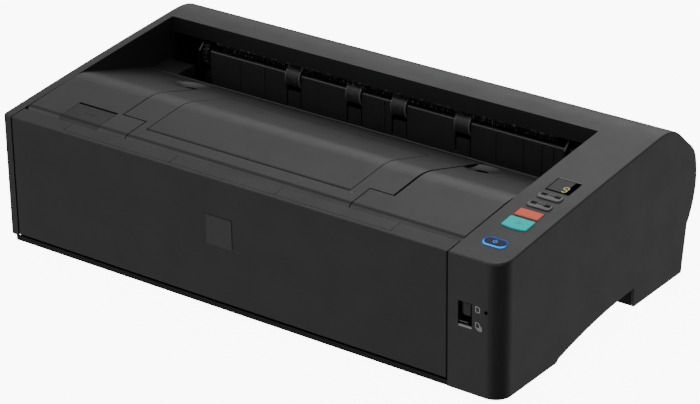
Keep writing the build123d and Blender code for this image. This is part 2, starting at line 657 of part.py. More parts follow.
def guide_pinion():
    """The small gear between the two racks, on a pin of the tray."""
    face = gear_face(int(2 * PINION_RADIUS / RACK_MODULE), RACK_MODULE) - Circle(PINION_PIN + SHAFT_FIT)
    gear = extrude(face, amount=1.4)
    return Pos(CENTRE, TRAY_BACK - 0.5, (RACK_Z[0] + RACK_Z[1]) / 2) * Rot(90, 0, 0) * gear


def gear_face(teeth, module):
    """A gear seen along its axis: tapered teeth with room between them."""
    tooth = 2 * pi / teeth
    points = []
    for number in range(teeth):
        for share, height in ((-0.30, -1.1), (-0.19, 0.0), (-0.11, 0.75), (0.11, 0.75), (0.19, 0.0), (0.30, -1.1)):
            angle = (number + share) * tooth
            radius = teeth * module / 2 + height * module
            points.append((radius * cos(angle), radius * sin(angle)))
    return make_face(Polyline(*points, close=True))


def badge_plate():
    """The blank square plate on the front panel."""
    x = (CENTRE - BADGE_SIZE / 2, CENTRE + BADGE_SIZE / 2)
    z = (BADGE_HEIGHT - BADGE_SIZE / 2, BADGE_HEIGHT + BADGE_SIZE / 2)
    plate = span(x, (FRONT - BADGE_SHEET, FRONT), z)
    return fillet(plate.edges().filter_by(Axis.Y), 1.0)


def path_height(y):
    """Height of the lower side of the paper path."""
    share = min(max((y - MOUTH_END) / (RAMP_END - MOUTH_END), 0), 1)
    return MOUTH_HEIGHT + (PATH_HEIGHT - MOUTH_HEIGHT) * share


FEED_AXIS = (SEPARATION_Y, path_height(SEPARATION_Y) + NIP_GAP + FEED_ROLLER_RADIUS)
PICKUP_AXIS = (PICKUP_Y, MOUTH_HEIGHT + NIP_GAP + ROLLER_RADIUS)
RETARD_AXIS = (SEPARATION_Y, path_height(SEPARATION_Y) - RETARD_RADIUS)


def turn_point(radius, angle):
    """A point about the middle of the paper's turn, as a Y and a Z."""
    return (
        TURN_CENTRE[0] + radius * cos(radians(angle)),
        TURN_CENTRE[1] + radius * sin(radians(angle)),
    )


def turn_sheet(x, radius, sheet, angles):
    """A curved guide about the turn, thickened inwards from its radius."""
    start, middle, end = (turn_point(radius, a) for a in (angles[0], sum(angles) / 2, angles[1]))
    inner_start, inner_middle, inner_end = (
        turn_point(radius - sheet, a) for a in (angles[0], sum(angles) / 2, angles[1])
    )
    edges = [
        ThreePointArc(start, middle, end),
        Line(end, inner_end),
        ThreePointArc(inner_end, inner_middle, inner_start),
        Line(inner_start, start),
    ]
    return slab(x, make_face(edges))


def roller_windows(axis, radius):
    """Round holes for the rollers of one shaft, a little larger than they are."""
    half = ROLLER_WIDTH / 2 + 1.0
    return [bar((CENTRE + x - half, CENTRE + x + half), axis, radius + 1.2) for x in ROLLER_OFFSETS]


TURN_DRIVE = turn_point(TURN_RADIUS - 0.6 - ROLLER_RADIUS, TURN_ROLLER_ANGLE)
TURN_IDLER = turn_point(TURN_RADIUS - 0.6 + NIP_GAP + IDLER_RADIUS, TURN_ROLLER_ANGLE)
EJECT_DRIVE = (TURN_CENTRE[0], TURN_CENTRE[1] + TURN_RADIUS - ROLLER_RADIUS)
EJECT_IDLER = (EJECT_DRIVE[0], EJECT_DRIVE[1] + ROLLER_RADIUS + NIP_GAP + IDLER_RADIUS)


def idler_gear_axis():
    """Where the idler meshes with both driven shafts, in front of the line between them."""
    reach = (SHAFT_TEETH + IDLER_TEETH) * GEAR_MODULE / 2 + GEAR_BACKLASH
    across = (TURN_DRIVE[0] - EJECT_DRIVE[0], TURN_DRIVE[1] - EJECT_DRIVE[1])
    length = hypot(*across)
    out = (reach * reach - length * length / 4) ** 0.5
    middle = ((TURN_DRIVE[0] + EJECT_DRIVE[0]) / 2, (TURN_DRIVE[1] + EJECT_DRIVE[1]) / 2)
    return (middle[0] + across[1] / length * out, middle[1] - across[0] / length * out)


IDLER_AXIS = idler_gear_axis()
MOTOR_REACH = (PINION_TEETH + IDLER_TEETH) * GEAR_MODULE / 2 + GEAR_BACKLASH
MOTOR_AXIS = (IDLER_AXIS[0] + MOTOR_REACH * 0.1, IDLER_AXIS[1] - MOTOR_REACH * 0.995)
def side_plate(x):
    """A steel side frame: low at the front for the lower path, tall at the rear for the turn."""
    back = TURN_IDLER[0] + 3.0
    base = outline(
        (FRONT + 18.0, FLOOR_TOP),
        (FRONT + 18.0, 12.0),
        (RAMP_END, PATH_HEIGHT - 3.0),
        (UNIT_HINGE_Y - 14.0, PATH_HEIGHT - 3.0),
        (UNIT_HINGE_Y - 8.0, 60.0),
        (UNIT_HINGE_Y - 3.0, 98.0),
        (BAY_REAR + INNER_WALL + 1.0, 103.0),
        (EJECT_IDLER[0] - 4.0, EJECT_IDLER[1] + 5.0),
        (EJECT_IDLER[0] + 14.0, EJECT_IDLER[1] + 5.0),
        (back, 84.0),
        (back, TURN_IDLER[1] - 4.0),
        (REAR - 24.0, FLOOR_TOP),
    )
    plate = slab(x, base)
    hole_x = (x[0] - 1, x[1] + 1)
    for axis in (TURN_DRIVE, EJECT_DRIVE):
        plate -= bar(hole_x, axis, SHAFT_RADIUS + SHAFT_FIT)
    for axis in (TURN_IDLER, EJECT_IDLER):
        plate -= bar(hole_x, axis, THIN_RADIUS + SHAFT_FIT)
    for y in LOWER_DRIVES.values():
        plate -= bar(hole_x, (y, LOWER_AXIS_Z), SHAFT_RADIUS + SHAFT_FIT)
    return plate


def hinge_pins():
    """Two stepped pins riveted to the side frames, on which the upper unit turns."""
    axis = (UNIT_HINGE_Y, UNIT_HINGE_Z)
    left = bar((ARM_LEFT - 2.0, SIDE_LEFT), axis, UNIT_PIN_RADIUS)
    left += bar((ARM_LEFT - 3.2, ARM_LEFT - 2.0), axis, UNIT_PIN_RADIUS + 1.5)
    right = bar((SIDE_RIGHT + SIDE_SHEET, ARM_RIGHT + 2.0), axis, UNIT_PIN_RADIUS)
    right += bar((ARM_RIGHT + 2.0, ARM_RIGHT + 3.2), axis, UNIT_PIN_RADIUS + 1.5)
    return Compound(children=[left, right])


def lower_guide():
    """The lower side of the paper path, with windows for the rollers and the reading glass."""
    mouth = (TRAY_BACK + 1.9, MOUTH_HEIGHT)
    top = [mouth, (MOUTH_END, MOUTH_HEIGHT), (RAMP_END, PATH_HEIGHT), (TURN_CENTRE[0], PATH_HEIGHT)]
    under = [(y, z - GUIDE_SHEET) for y, z in reversed(top)]
    guide = slab((SIDE_LEFT + SIDE_SHEET, SIDE_RIGHT), outline(*top, *under))
    for y in LOWER_DRIVES.values():
        for hole in roller_windows((y, LOWER_AXIS_Z), ROLLER_RADIUS):
            guide -= hole
    guide -= bar((CENTRE - 18.0, CENTRE + 18.0), RETARD_AXIS, RETARD_RADIUS + 2.0)
    glass_x = (GUIDE_SPAN[0] + 2, GUIDE_SPAN[1] - 2)
    guide -= span(glass_x, (SENSOR_Y[0] + 3, SENSOR_Y[1] - 3), (PATH_HEIGHT - 3, PATH_HEIGHT + 1))
    return guide


def sensor_unit(z, up):
    """An image sensor: a long channel body; up is +1 where its glass is on top, or -1 below."""
    x = (GUIDE_SPAN[0] - 1, GUIDE_SPAN[1] + 1)
    body = span(x, SENSOR_Y, z)
    far_side = 0 if up > 0 else -1
    return fillet(body.edges().filter_by(Axis.X).group_by(Axis.Z)[far_side], SENSOR_ROUND)


def sensor_glass(z):
    """The glass strip over an image sensor, level with the path."""
    inset = SENSOR_GLASS_INSET
    x = (GUIDE_SPAN[0] + inset - 1.0, GUIDE_SPAN[1] - inset + 1.0)
    return span(x, (SENSOR_Y[0] + inset, SENSOR_Y[1] - inset), z)


def roller_row(axis, radius, bore, offsets=ROLLER_OFFSETS, width=ROLLER_WIDTH):
    """Rubber rollers on one shaft, each with a rounded rim."""
    rollers = []
    for offset_x in offsets:
        x = CENTRE + offset_x
        tyre = bar((x - width / 2, x + width / 2), axis, radius)
        tyre = fillet(tyre.edges(), ROLLER_RIM)
        rollers.append(tyre - bar((x - width, x + width), axis, bore))
    return Compound(children=rollers)


def gear_at(teeth, axis, phase, bore):
    """A gear of the main drive on its axis, turned by a share of one tooth."""
    face = gear_face(teeth, GEAR_MODULE) - Circle(bore)
    gear = extrude(Rot(0, 0, phase) * face, amount=GEAR_THICKNESS)
    return Pos(GEAR_X[0], *axis) * Plane.YZ.location * gear


def mesh_phase(teeth, axis, other_teeth, other_axis, other_phase):
    """The turn, in degrees, that puts a gap of this gear at a tooth of the other."""
    away = degrees(atan2_points(axis, other_axis))
    into_other = (away + 180.0 - other_phase) / (360.0 / other_teeth)
    offset_share = into_other - round(into_other)
    return away + (0.5 + offset_share) * 360.0 / teeth


def atan2_points(start, end):
    """Direction from one point to another, in radians."""
    across = end[0] - start[0]
    rise = end[1] - start[1]
    angle = atan(rise / across) if across else pi / 2 * (1 if rise > 0 else -1)
    return angle + (pi if across < 0 else 0)


def inner_turn_guide():
    """The inner side of the turn, round the drive inside it."""
    guide = turn_sheet((GUIDE_SPAN[0], SIDE_RIGHT), TURN_RADIUS - PATH_HALF_GAP, PLATE_SHEET, (-88.0, 72.0))
    for angles in ((-78.0, -62.0), (30.0, 46.0)):
        guide += turn_sheet((SIDE_LEFT + SIDE_SHEET, GUIDE_SPAN[0]), TURN_RADIUS - PATH_HALF_GAP, PLATE_SHEET, angles)
    for hole in roller_windows(TURN_DRIVE, ROLLER_RADIUS):
        guide -= hole
    return guide


def outer_turn_guide():
    """The outer side of the turn, from the end of the straight path to the eject nip."""
    sheet = PLATE_SHEET
    width = (SIDE_LEFT + SIDE_SHEET, SIDE_RIGHT)
    guide = turn_sheet(width, TURN_RADIUS + PATH_HALF_GAP + sheet, sheet, (-48.0, 76.0))
    for hole in roller_windows(TURN_IDLER, IDLER_RADIUS):
        guide -= hole
    return guide


def eject_guide_plate():
    """The upright plate behind the recess: rounded top rim, roller windows and thin ribs."""
    y = (PLATE_Y, PLATE_Y + PLATE_SHEET)
    width = (GUIDE_SPAN[0], SIDE_RIGHT)
    plate = span(width, y, (PLATE_FOOT, PLATE_TOP))
    plate += span(width, (PLATE_Y, PLATE_Y + PLATE_RIM), (PLATE_TOP - PLATE_SHEET, PLATE_TOP))
    plate = fillet(plate.edges().filter_by(Axis.X).group_by(Axis.Z)[-1].sort_by(Axis.Y)[0], 1.4)
    plate += span((SIDE_LEFT + SIDE_SHEET, GUIDE_SPAN[0]), y, (PLATE_FOOT, PLATE_FOOT + 5.0))
    rib_top = PLATE_TOP - 1.2
    for share in RIB_SHARES:
        x = CENTRE + share * PAPER_WIDTH / 2
        rib_x = (x - RIB_WIDTH / 2, x + RIB_WIDTH / 2)
        plate += span(rib_x, (PLATE_Y - 0.8, PLATE_Y + 0.5), (rib_top - RIB_LENGTH, rib_top))
    for hole in roller_windows(EJECT_DRIVE, ROLLER_RADIUS):
        plate -= hole
    for offset_x in ROLLER_OFFSETS:
        half = ROLLER_WIDTH / 2 + 1.0
        x = (CENTRE + offset_x - half, CENTRE + offset_x + half)
        plate -= span(x, (PLATE_Y - 1, PLATE_Y + PLATE_RIM + 1), (TAB_FOOT, EJECT_DRIVE[1]))
        plate += span((x[0] + TAB_GAP, x[1] - TAB_GAP), (PLATE_Y + 0.4, y[1]), (TAB_FOOT - 1, TAB_TOP))
    return plate


def static_brush():
    """The discharge brush under the lip of the bridge: a slim strip with rows of fine strands."""
    foot = top_height(BAY_REAR) - BRIDGE_LIP_HEIGHT
    strip_y = (BAY_REAR + 0.2, BAY_REAR + INNER_WALL)
    strip = span(BRUSH_X, strip_y, (foot - BRUSH_STRIP, foot))
    strands = []
    step = (BRUSH_X[1] - BRUSH_X[0] - 2.0) / BRISTLES
    for row in range(BRISTLE_ROWS):
        y = strip_y[0] + 0.5 + row * 0.8
        for number in range(BRISTLES):
            lean = 5.0 * sin(number * 2.4 + row)
            strand = Box(BRISTLE_WIDTH, BRISTLE_WIDTH, BRISTLE_LENGTH)
            place = Pos(BRUSH_X[0] + 1.0 + (number + 0.5 * row + 0.25) * step, y, foot - 1.0)
            strands.append(place * Rot(lean, 0, 0) * Pos(0, 0, -BRISTLE_LENGTH / 2) * strand)
    return strip + strands


def rear_exit_cover():
    """The flap over the straight exit in the lower rear wall, with its hinge pins."""
    x = (EXIT_SPAN[0] + 0.5, EXIT_SPAN[1] - 0.5)
    foot = EXIT_FOOT + SLIDE_GAP
    top = EXIT_TOP - 0.5
    flap = slab(
        x,
        outline(
            (rear_face_y(foot) - EXIT_SHEET, foot),
            (rear_face_y(foot), foot),
            (rear_face_y(top), top),
            (rear_face_y(top) - EXIT_SHEET, top),
        ),
    )
    flap = fillet(flap.edges().filter_by(Axis.X).sort_by(Axis.Z)[:2], EXIT_SHEET / 2 - 0.05)
    return flap + bar((EXIT_SPAN[0] - 1.8, EXIT_SPAN[1] + 1.8), EXIT_AXIS, EXIT_PIN_RADIUS)


def drive_motor():
    """The main motor inside the turn, held off the left side frame by two posts."""
    start = GEAR_X[1] + 1.5
    body = bar((start + 1.2, start + 38.0), MOTOR_AXIS, 10.0)
    body = fillet(body.edges().sort_by(Axis.X)[-1], 1.5)
    y, z = MOTOR_AXIS
    body += span((start, start + 1.2), (y - 10.0, y + 10.0), (z - 12.5, z + 10.0))
    for post_y in (y - 7.0, y + 7.0):
        body += bar((SIDE_LEFT + SIDE_SHEET, start), (post_y, z - 10.5), 1.6)
    return body - bar((start - 1, start + 10), MOTOR_AXIS, 1.0 + SHAFT_FIT)


def motor_pinion():
    """The motor's shaft with its pinion."""
    return gear_at(PINION_TEETH, MOTOR_AXIS, PINION_PHASE, 0.8) + bar((GEAR_X[0], GEAR_X[1] + 8.0), MOTOR_AXIS, 1.0)


def idler_gear():
    """The idler between the pinion and both driven shafts, with its own stub on the side frame."""
    return gear_at(IDLER_TEETH, IDLER_AXIS, IDLER_PHASE, 2.0 + SHAFT_FIT)


def idler_stub():
    """The pin that the idler turns on, riveted to the left side frame."""
    pin = bar((SIDE_LEFT + SIDE_SHEET, GEAR_X[1] + 0.3), IDLER_AXIS, 2.0)
    return pin + bar((GEAR_X[1] + 0.3, GEAR_X[1] + 1.3), IDLER_AXIS, 3.2)


IDLER_PHASE = 0.0
PINION_PHASE = mesh_phase(PINION_TEETH, MOTOR_AXIS, IDLER_TEETH, IDLER_AXIS, IDLER_PHASE)
EJECT_PHASE = mesh_phase(SHAFT_TEETH, EJECT_DRIVE, IDLER_TEETH, IDLER_AXIS, IDLER_PHASE)
TURN_PHASE = mesh_phase(SHAFT_TEETH, TURN_DRIVE, IDLER_TEETH, IDLER_AXIS, IDLER_PHASE)


def driven_shaft(axis, phase):
    """A steel shaft across both side frames, with its gear at the left end."""
    rod = bar((SIDE_LEFT - 2.0, SIDE_RIGHT + SIDE_SHEET + 2.0), axis, SHAFT_RADIUS)
    return rod + gear_at(SHAFT_TEETH, axis, phase, 1.0)


def idler_shaft(axis):
    """A thin axle across both side frames for free rollers."""
    return bar((SIDE_LEFT - 1.0, SIDE_RIGHT + SIDE_SHEET + 1.0), axis, THIN_RADIUS)


def lower_shaft(y):
    """A shaft of the lower path, with its belt pulley inside the right side frame."""
    axis = (y, LOWER_AXIS_Z)
    rod = bar((SIDE_LEFT - 2.0, SIDE_RIGHT + SIDE_SHEET + 6.0), axis, SHAFT_RADIUS)
    pulley_x = (SIDE_RIGHT + SIDE_SHEET + 0.5, SIDE_RIGHT + SIDE_SHEET + 5.5)
    return rod + bar(pulley_x, axis, PULLEY_RADIUS)


def drive_belt():
    """The belt round both pulleys of the lower path."""
    front, rear = sorted(LOWER_DRIVES.values())
    x = (SIDE_RIGHT + SIDE_SHEET + 1.0, SIDE_RIGHT + SIDE_SHEET + 5.0)
    length = rear - front
    outer = SlotCenterToCenter(length, 2 * (PULLEY_RADIUS + BELT_GAP + BELT_SHEET))
    inner = SlotCenterToCenter(length, 2 * (PULLEY_RADIUS + BELT_GAP))
    return slab(x, Pos((front + rear) / 2, LOWER_AXIS_Z) * (outer - inner))


def retard_arm():
    """The swinging arm that presses the retard roller up, on its own pivot pin."""
    pivot_y, pivot_z = RETARD_PIVOT
    arm = None
    outer = (CENTRE - RETARD_HALF, CENTRE + RETARD_HALF)
    for x in ((outer[0], outer[0] + SIDE_SHEET), (outer[1] - SIDE_SHEET, outer[1])):
        side = slab(
            x,
            outline(
                (pivot_y - 3.0, pivot_z - 3.0),
                (pivot_y - 3.0, pivot_z + 3.0),
                (RETARD_AXIS[0], RETARD_AXIS[1] + 3.5),
                (RETARD_AXIS[0] + 4.0, RETARD_AXIS[1] + 2.0),
                (RETARD_AXIS[0] + 4.0, RETARD_AXIS[1] - 4.0),
            ),
        )
        side -= bar((x[0] - 1, x[1] + 1), RETARD_AXIS, THIN_RADIUS + SHAFT_FIT)
        arm = side if arm is None else arm + side
    arm += span(outer, (pivot_y + 4.0, pivot_y + 9.0), (pivot_z - SIDE_SHEET, pivot_z))
    return arm + bar((CENTRE - RETARD_REACH, CENTRE + RETARD_REACH), RETARD_PIVOT, THIN_RADIUS)


def retard_bracket():
    """Two posts on the base that carry the pivot of the retard arm."""
    posts = []
    for x in ((CENTRE - RETARD_REACH, CENTRE - 18.5), (CENTRE + 18.5, CENTRE + RETARD_REACH)):
        post = span(x, (RETARD_PIVOT[0] - 4.0, RETARD_PIVOT[0] + 4.0), (FLOOR_TOP, RETARD_PIVOT[1] + 4.0))
        posts.append(post - bar((x[0] - 1, x[1] + 1), RETARD_PIVOT, THIN_RADIUS + SHAFT_FIT))
    return Compound(children=posts)


def retard_roller():
    """The retard roller with its axle."""
    tyre = bar((CENTRE - 15.0, CENTRE + 15.0), RETARD_AXIS, RETARD_RADIUS)
    axle = bar((CENTRE - RETARD_HALF, CENTRE + RETARD_HALF), RETARD_AXIS, THIN_RADIUS)
    return fillet(tyre.edges(), ROLLER_RIM) + axle


def cover_section(depth):
    """Side outline of the upper cover, sunk by a depth: upright front, rolled edge, ridge and descent."""
    front = COVER_FRONT + depth
    rear = COVER_REAR - depth
    ridge = (RIDGE_Y, top_height(RIDGE_Y) + RIDGE_PROUD - depth)
    rise = (ridge[1] + depth - top_height(COVER_FRONT)) / (RIDGE_Y - COVER_FRONT)
    front_top = (front, ridge[1] - rise * (RIDGE_Y - front))
    rear_top = (rear, ridge[1] - DESCENT_SLOPE * (rear - RIDGE_Y))
    face = outline((front, 20.0), front_top, ridge, rear_top, (rear, 20.0))
    face = fillet(face.vertices().sort_by(Axis.Y)[-1], RIDGE_ROUND - depth)
    near_front = face.vertices().sort_by(lambda v: abs(v.X - front_top[0]) + abs(v.Y - front_top[1]))[0]
    face = fillet(near_front, COVER_ROLL - depth)
    if depth < 1:
        near_rear = face.vertices().sort_by(lambda v: abs(v.X - rear_top[0]) + abs(v.Y - rear_top[1]))[0]
        face = fillet(near_rear, 0.8)
    return face


def band(x, depth_out, depth_in):
    """A layer of the upper cover between two depths below its surface."""
    layer = slab(x, cover_section(depth_out))
    return layer - slab((x[0] - 1, x[1] + 1), cover_section(depth_in))


def eject_plan(grow_left=0.0, grow_right=0.0, grow_end=0.0):
    """The plan of the eject tray as tall blocks: a neck at the front and the wide part."""
    wide = span(
        (EJECT_LEFT - grow_left, EJECT_RIGHT + grow_right),
        (EJECT_NECK_END - grow_end, EJECT_REAR + grow_end),
        (UNDER_TRAY, BIG),
    )
    neck_x = (EJECT_NECK_LEFT - grow_left, EJECT_NECK_RIGHT + grow_left)
    neck = span(neck_x, (FRONT, EJECT_NECK_END + 1), (NECK_FOOT - grow_end / 2, BIG))
    return wide + neck


def surface_point(y, depth):
    """A point below the upper cover's surface, as a Y and a Z."""
    ridge_z = top_height(RIDGE_Y) + RIDGE_PROUD
    if y > RIDGE_Y:
        return (y, ridge_z - DESCENT_SLOPE * (y - RIDGE_Y) - depth)
    rise = (ridge_z - top_height(COVER_FRONT)) / (RIDGE_Y - COVER_FRONT)
    return (y, ridge_z - rise * (RIDGE_Y - y) - depth)


EJECT_AXIS = surface_point(EJECT_REAR - HINGE_DEPTH, HINGE_DEPTH + 0.1)
STOPPER_AXIS = surface_point(STOPPER_FRONT + HINGE_DEPTH, HINGE_DEPTH)
LEVER_AXIS = surface_point(LEVER_REAR - HINGE_DEPTH, HINGE_DEPTH)


def upper_cover():
    """The top shell of the upper unit: rolled front, ridge, descent, side flanges and rear shoulders."""
    outer = slab(BAY, cover_section(0.0))
    hollow = slab((BAY[0] + COVER_SHEET, BAY[1] - COVER_SHEET), cover_section(COVER_SHEET))
    below = outline(
        (COVER_FRONT + COVER_SHEET, 10.0),
        (COVER_FRONT + COVER_SHEET, top_height(COVER_FRONT) - COVER_FLANGE),
        surface_point(RIDGE_Y, COVER_FLANGE),
        surface_point(COVER_REAR + 1, COVER_FLANGE),
        (COVER_REAR + 1, 10.0),
    )
    cover = outer - hollow - slab((BAY[0] - 1, BAY[1] + 1), below)
    cover -= span((LEFT, RIGHT), (FRONT, COVER_REAR + 1), (0, COVER_FRONT_FOOT))
    lip_axis = surface_point(COVER_REAR - REAR_LIP, REAR_LIP - REAR_LIP_PROUD)
    cover += tray_bed() + lever_bed() + bar(BAY, lip_axis, REAR_LIP)
    layer = band((EJECT_LEFT - 3.0, EJECT_RIGHT + 3.0), -1.0, EJECT_SHEET + EJECT_BED_GAP)
    cover -= layer & eject_plan(SEAM, EJECT_RIGHT_GAP, EJECT_END_GAP)
    cover -= span(
        (LEVER_LEFT - SLIDE_GAP, LEVER_RIGHT + SLIDE_GAP),
        (FRONT, LEVER_REAR + LEVER_REAR_GAP),
        (LEVER_FOOT - SLIDE_GAP, BIG),
    )
    cover -= bar((EJECT_LEFT - 4.0, EJECT_RIGHT + 5.0), EJECT_AXIS, HINGE_PIN + SHAFT_FIT)
    cover -= bar((LEVER_LEFT - 3.0, LEVER_RIGHT + 3.0), LEVER_AXIS, HINGE_PIN + SHAFT_FIT)
    for x in (EJECT_LEFT - SCOOP_FROM_TRAY, EJECT_RIGHT + SCOOP_FROM_TRAY):
        cover -= finger_scoop(x)
    for x in ((BAY[0], SIDE_LEFT - SHOULDER_GAP), (ARM_RIGHT - 1.0, BAY[1])):
        cover += shoulder(x)
    return cover


def finger_scoop(x):
    """The ball that leaves a shallow hollow in the cover beside the rear end of the eject tray."""
    y, z = surface_point(COVER_REAR - SCOOP_FROM_TRAY, SCOOP_DEPTH - SCOOP_RADIUS)
    return Pos(x, y, z) * Sphere(SCOOP_RADIUS)


def tray_bed():
    """The thicker part of the upper cover under the eject tray."""
    x = (EJECT_LEFT - 5.0, EJECT_RIGHT + 6.0)
    layer = band(x, 1.0, EJECT_SHEET + EJECT_BED_GAP + EJECT_BED_SHEET)
    return layer & span(x, (FRONT, COVER_REAR - 1), (NECK_FOOT - 17.0, BIG))


def lever_bed():
    """The thicker part of the upper cover round the open lever."""
    layer = band((LEVER_LEFT - 4.0, LEVER_RIGHT + 4.0), 1.0, FLAP_SHEET + 2.8)
    return layer & span((LEFT, 0), (FRONT, LEVER_REAR + 6.0), (NECK_FOOT, BIG))


def shoulder(x):
    """A box open below and in front, which carries the cover on to the rear beside the recess."""
    top = surface_point(COVER_REAR, SHOULDER_DROP)[1]
    outer = span(x, (COVER_REAR - 2.0, SHOULDER_REAR), (SHOULDER_FOOT, top))
    outer = fillet(outer.edges().group_by(Axis.Z)[-1].sort_by(Axis.Y)[-1], 2.0)
    return outer - span(
        (x[0] + COVER_SHEET, x[1] - COVER_SHEET),
        (COVER_REAR - 3.0, SHOULDER_REAR - COVER_SHEET),
        (SHOULDER_FOOT - 1, top - COVER_SHEET),
    )


def eject_tray():
    """The tray let into the upper cover, with a window for its stopper and pins at its rear end."""
    tray = band((EJECT_LEFT, EJECT_RIGHT), 0.0, EJECT_SHEET) & eject_plan()
    tray = fillet(tray.edges().filter_by(Axis.X).sort_by(Axis.Y)[-2:], 1.2)
    window = span(
        (STOPPER_LEFT - STOPPER_SIDE_GAP, STOPPER_RIGHT + STOPPER_SIDE_GAP),
        (STOPPER_FRONT - STOPPER_END_GAP, STOPPER_REAR + STOPPER_SIDE_GAP),
        (UNDER_TRAY, BIG),
    )
    tray -= window
    tray -= bar((STOPPER_LEFT - 3.0, STOPPER_RIGHT + 3.0), STOPPER_AXIS, HINGE_PIN + SHAFT_FIT)
    for x in ((EJECT_LEFT - 3.5, EJECT_LEFT), (EJECT_RIGHT, EJECT_RIGHT + 4.5)):
        tray += bar(x, EJECT_AXIS, HINGE_PIN)
    return tray


def eject_stopper():
    """The flap in the eject tray that stands up to stop the sheets, with pins at its front end."""
    x = (STOPPER_LEFT, STOPPER_RIGHT)
    flap = band(x, 0.0, FLAP_SHEET) & span(x, (STOPPER_FRONT, STOPPER_REAR), (UNDER_TRAY, BIG))
    flap = fillet(flap.edges().filter_by(Axis.X).sort_by(Axis.Y)[:2], 1.1)
    return flap + bar((STOPPER_LEFT - 2.5, STOPPER_RIGHT + 2.5), STOPPER_AXIS, HINGE_PIN)


def open_lever():
    """The lever that releases the upper unit, wrapped over the rolled front edge."""
    x = (LEVER_LEFT, LEVER_RIGHT)
    lever = band(x, 0.0, FLAP_SHEET) & span(x, (FRONT, LEVER_REAR), (LEVER_FOOT, BIG))
    lever = fillet(lever.edges().filter_by(Axis.X).sort_by(Axis.Y)[-2:], 1.1)
    return lever + bar((LEVER_LEFT - 2.5, LEVER_RIGHT + 2.5), LEVER_AXIS, HINGE_PIN)


def unit_side(x):
    """A steel side of the upper unit, with its arm to the hinge and the bores of its axles."""
    foot = PATH_HEIGHT + 2 * PATH_HALF_GAP + GUIDE_SHEET
    room = span(x, (COVER_FRONT + COVER_SHEET, COVER_REAR - COVER_SHEET), (foot, BIG))
    side = slab(x, cover_section(COVER_SHEET)) & room
    side -= span((x[0] - 1, x[1] + 1), (FRONT, PATH_PLATE_FRONT), (0, COVER_FRONT_FOOT))
    arm = outline(
        (COVER_REAR - 27.0, foot),
        (COVER_REAR - 27.0, 76.0),
        (COVER_REAR - COVER_SHEET - 0.5, 71.0),
        (UNIT_HINGE_Y + 4.0, UNIT_HINGE_Z + 6.5),
        (UNIT_HINGE_Y + 7.0, UNIT_HINGE_Z),
        (UNIT_HINGE_Y + 3.0, UNIT_HINGE_Z - 6.5),
    )
    side += slab(x, arm)
    bores = [((UNIT_HINGE_Y, UNIT_HINGE_Z), UNIT_PIN_RADIUS), (FEED_AXIS, SHAFT_RADIUS)]
    bores += [((y, UPPER_IDLER_Z), THIN_RADIUS) for y in LOWER_DRIVES.values()]
    for axis, radius in bores:
        side -= bar((x[0] - 1, x[1] + 1), axis, radius + SHAFT_FIT)
    return side


def upper_path_plate(x):
    """The upper side of the paper path, with windows for the rollers and the reading glass."""
    foot = PATH_HEIGHT + 2 * PATH_HALF_GAP
    under = [
        (PATH_PLATE_FRONT, path_height(PATH_PLATE_FRONT) + 2 * PATH_HALF_GAP + 1.0),
        (RAMP_END, foot),
        (COVER_REAR - COVER_SHEET, foot),
    ]
    above = [(y, z + GUIDE_SHEET) for y, z in reversed(under)]
    plate = slab(x, outline(*under, *above))
    for y in LOWER_DRIVES.values():
        for hole in roller_windows((y, UPPER_IDLER_Z), IDLER_RADIUS):
            plate -= hole
    plate -= bar((CENTRE - 23.0, CENTRE + 23.0), FEED_AXIS, FEED_ROLLER_RADIUS + 2.0)
    holder = (CENTRE - HOLDER_HALF - 2.5, CENTRE + HOLDER_HALF + 2.5)
    plate -= span(holder, (PATH_PLATE_FRONT - 1, SEPARATION_Y), (0, COVER_FRONT_FOOT))
    glass_x = (GUIDE_SPAN[0] + 2, GUIDE_SPAN[1] - 2)
    return plate - span(glass_x, (SENSOR_Y[0] + 3, SENSOR_Y[1] - 3), (foot - 1, foot + 3))


def upper_frame():
    """The frame of the upper unit: a path plate and a cross beam held between two sides."""
    between = (ARM_LEFT + SIDE_SHEET, ARM_RIGHT - SIDE_SHEET)
    beam_foot = PATH_HEIGHT + 2 * PATH_HALF_GAP + GUIDE_SHEET + 14.0
    sheets = [
        unit_side((ARM_LEFT, between[0])),
        unit_side((between[1], ARM_RIGHT)),
        upper_path_plate(between),
        span(between, (BEAM_Y, BEAM_Y + SIDE_SHEET), (beam_foot, BEAM_TOP)),
    ]
    return Compound(children=sheets)


def on_shaft(rod, rollers):
    """A shaft and its rollers as separate solids of one node."""
    return Compound(children=[rod, *rollers.solids()])


def free_axle(axis):
    """A thin axle across the side plates of the upper unit."""
    return bar((ARM_LEFT - 1.0, ARM_RIGHT + 1.0), axis, THIN_RADIUS)


def feed_roller():
    """The feed roller over the retard roller, on its shaft across the upper unit."""
    rod = bar((ARM_LEFT - 2.0, ARM_RIGHT + 2.0), FEED_AXIS, SHAFT_RADIUS)
    return on_shaft(rod, roller_row(FEED_AXIS, FEED_ROLLER_RADIUS, SHAFT_RADIUS, FEED_OFFSETS))


def pickup_roller():
    """The pickup roller on its short shaft in the swing holder."""
    reach = HOLDER_HALF + 1.0
    rod = bar((CENTRE - reach, CENTRE + reach), PICKUP_AXIS, PICKUP_SHAFT)
    return on_shaft(rod, roller_row(PICKUP_AXIS, ROLLER_RADIUS, PICKUP_SHAFT, FEED_OFFSETS))


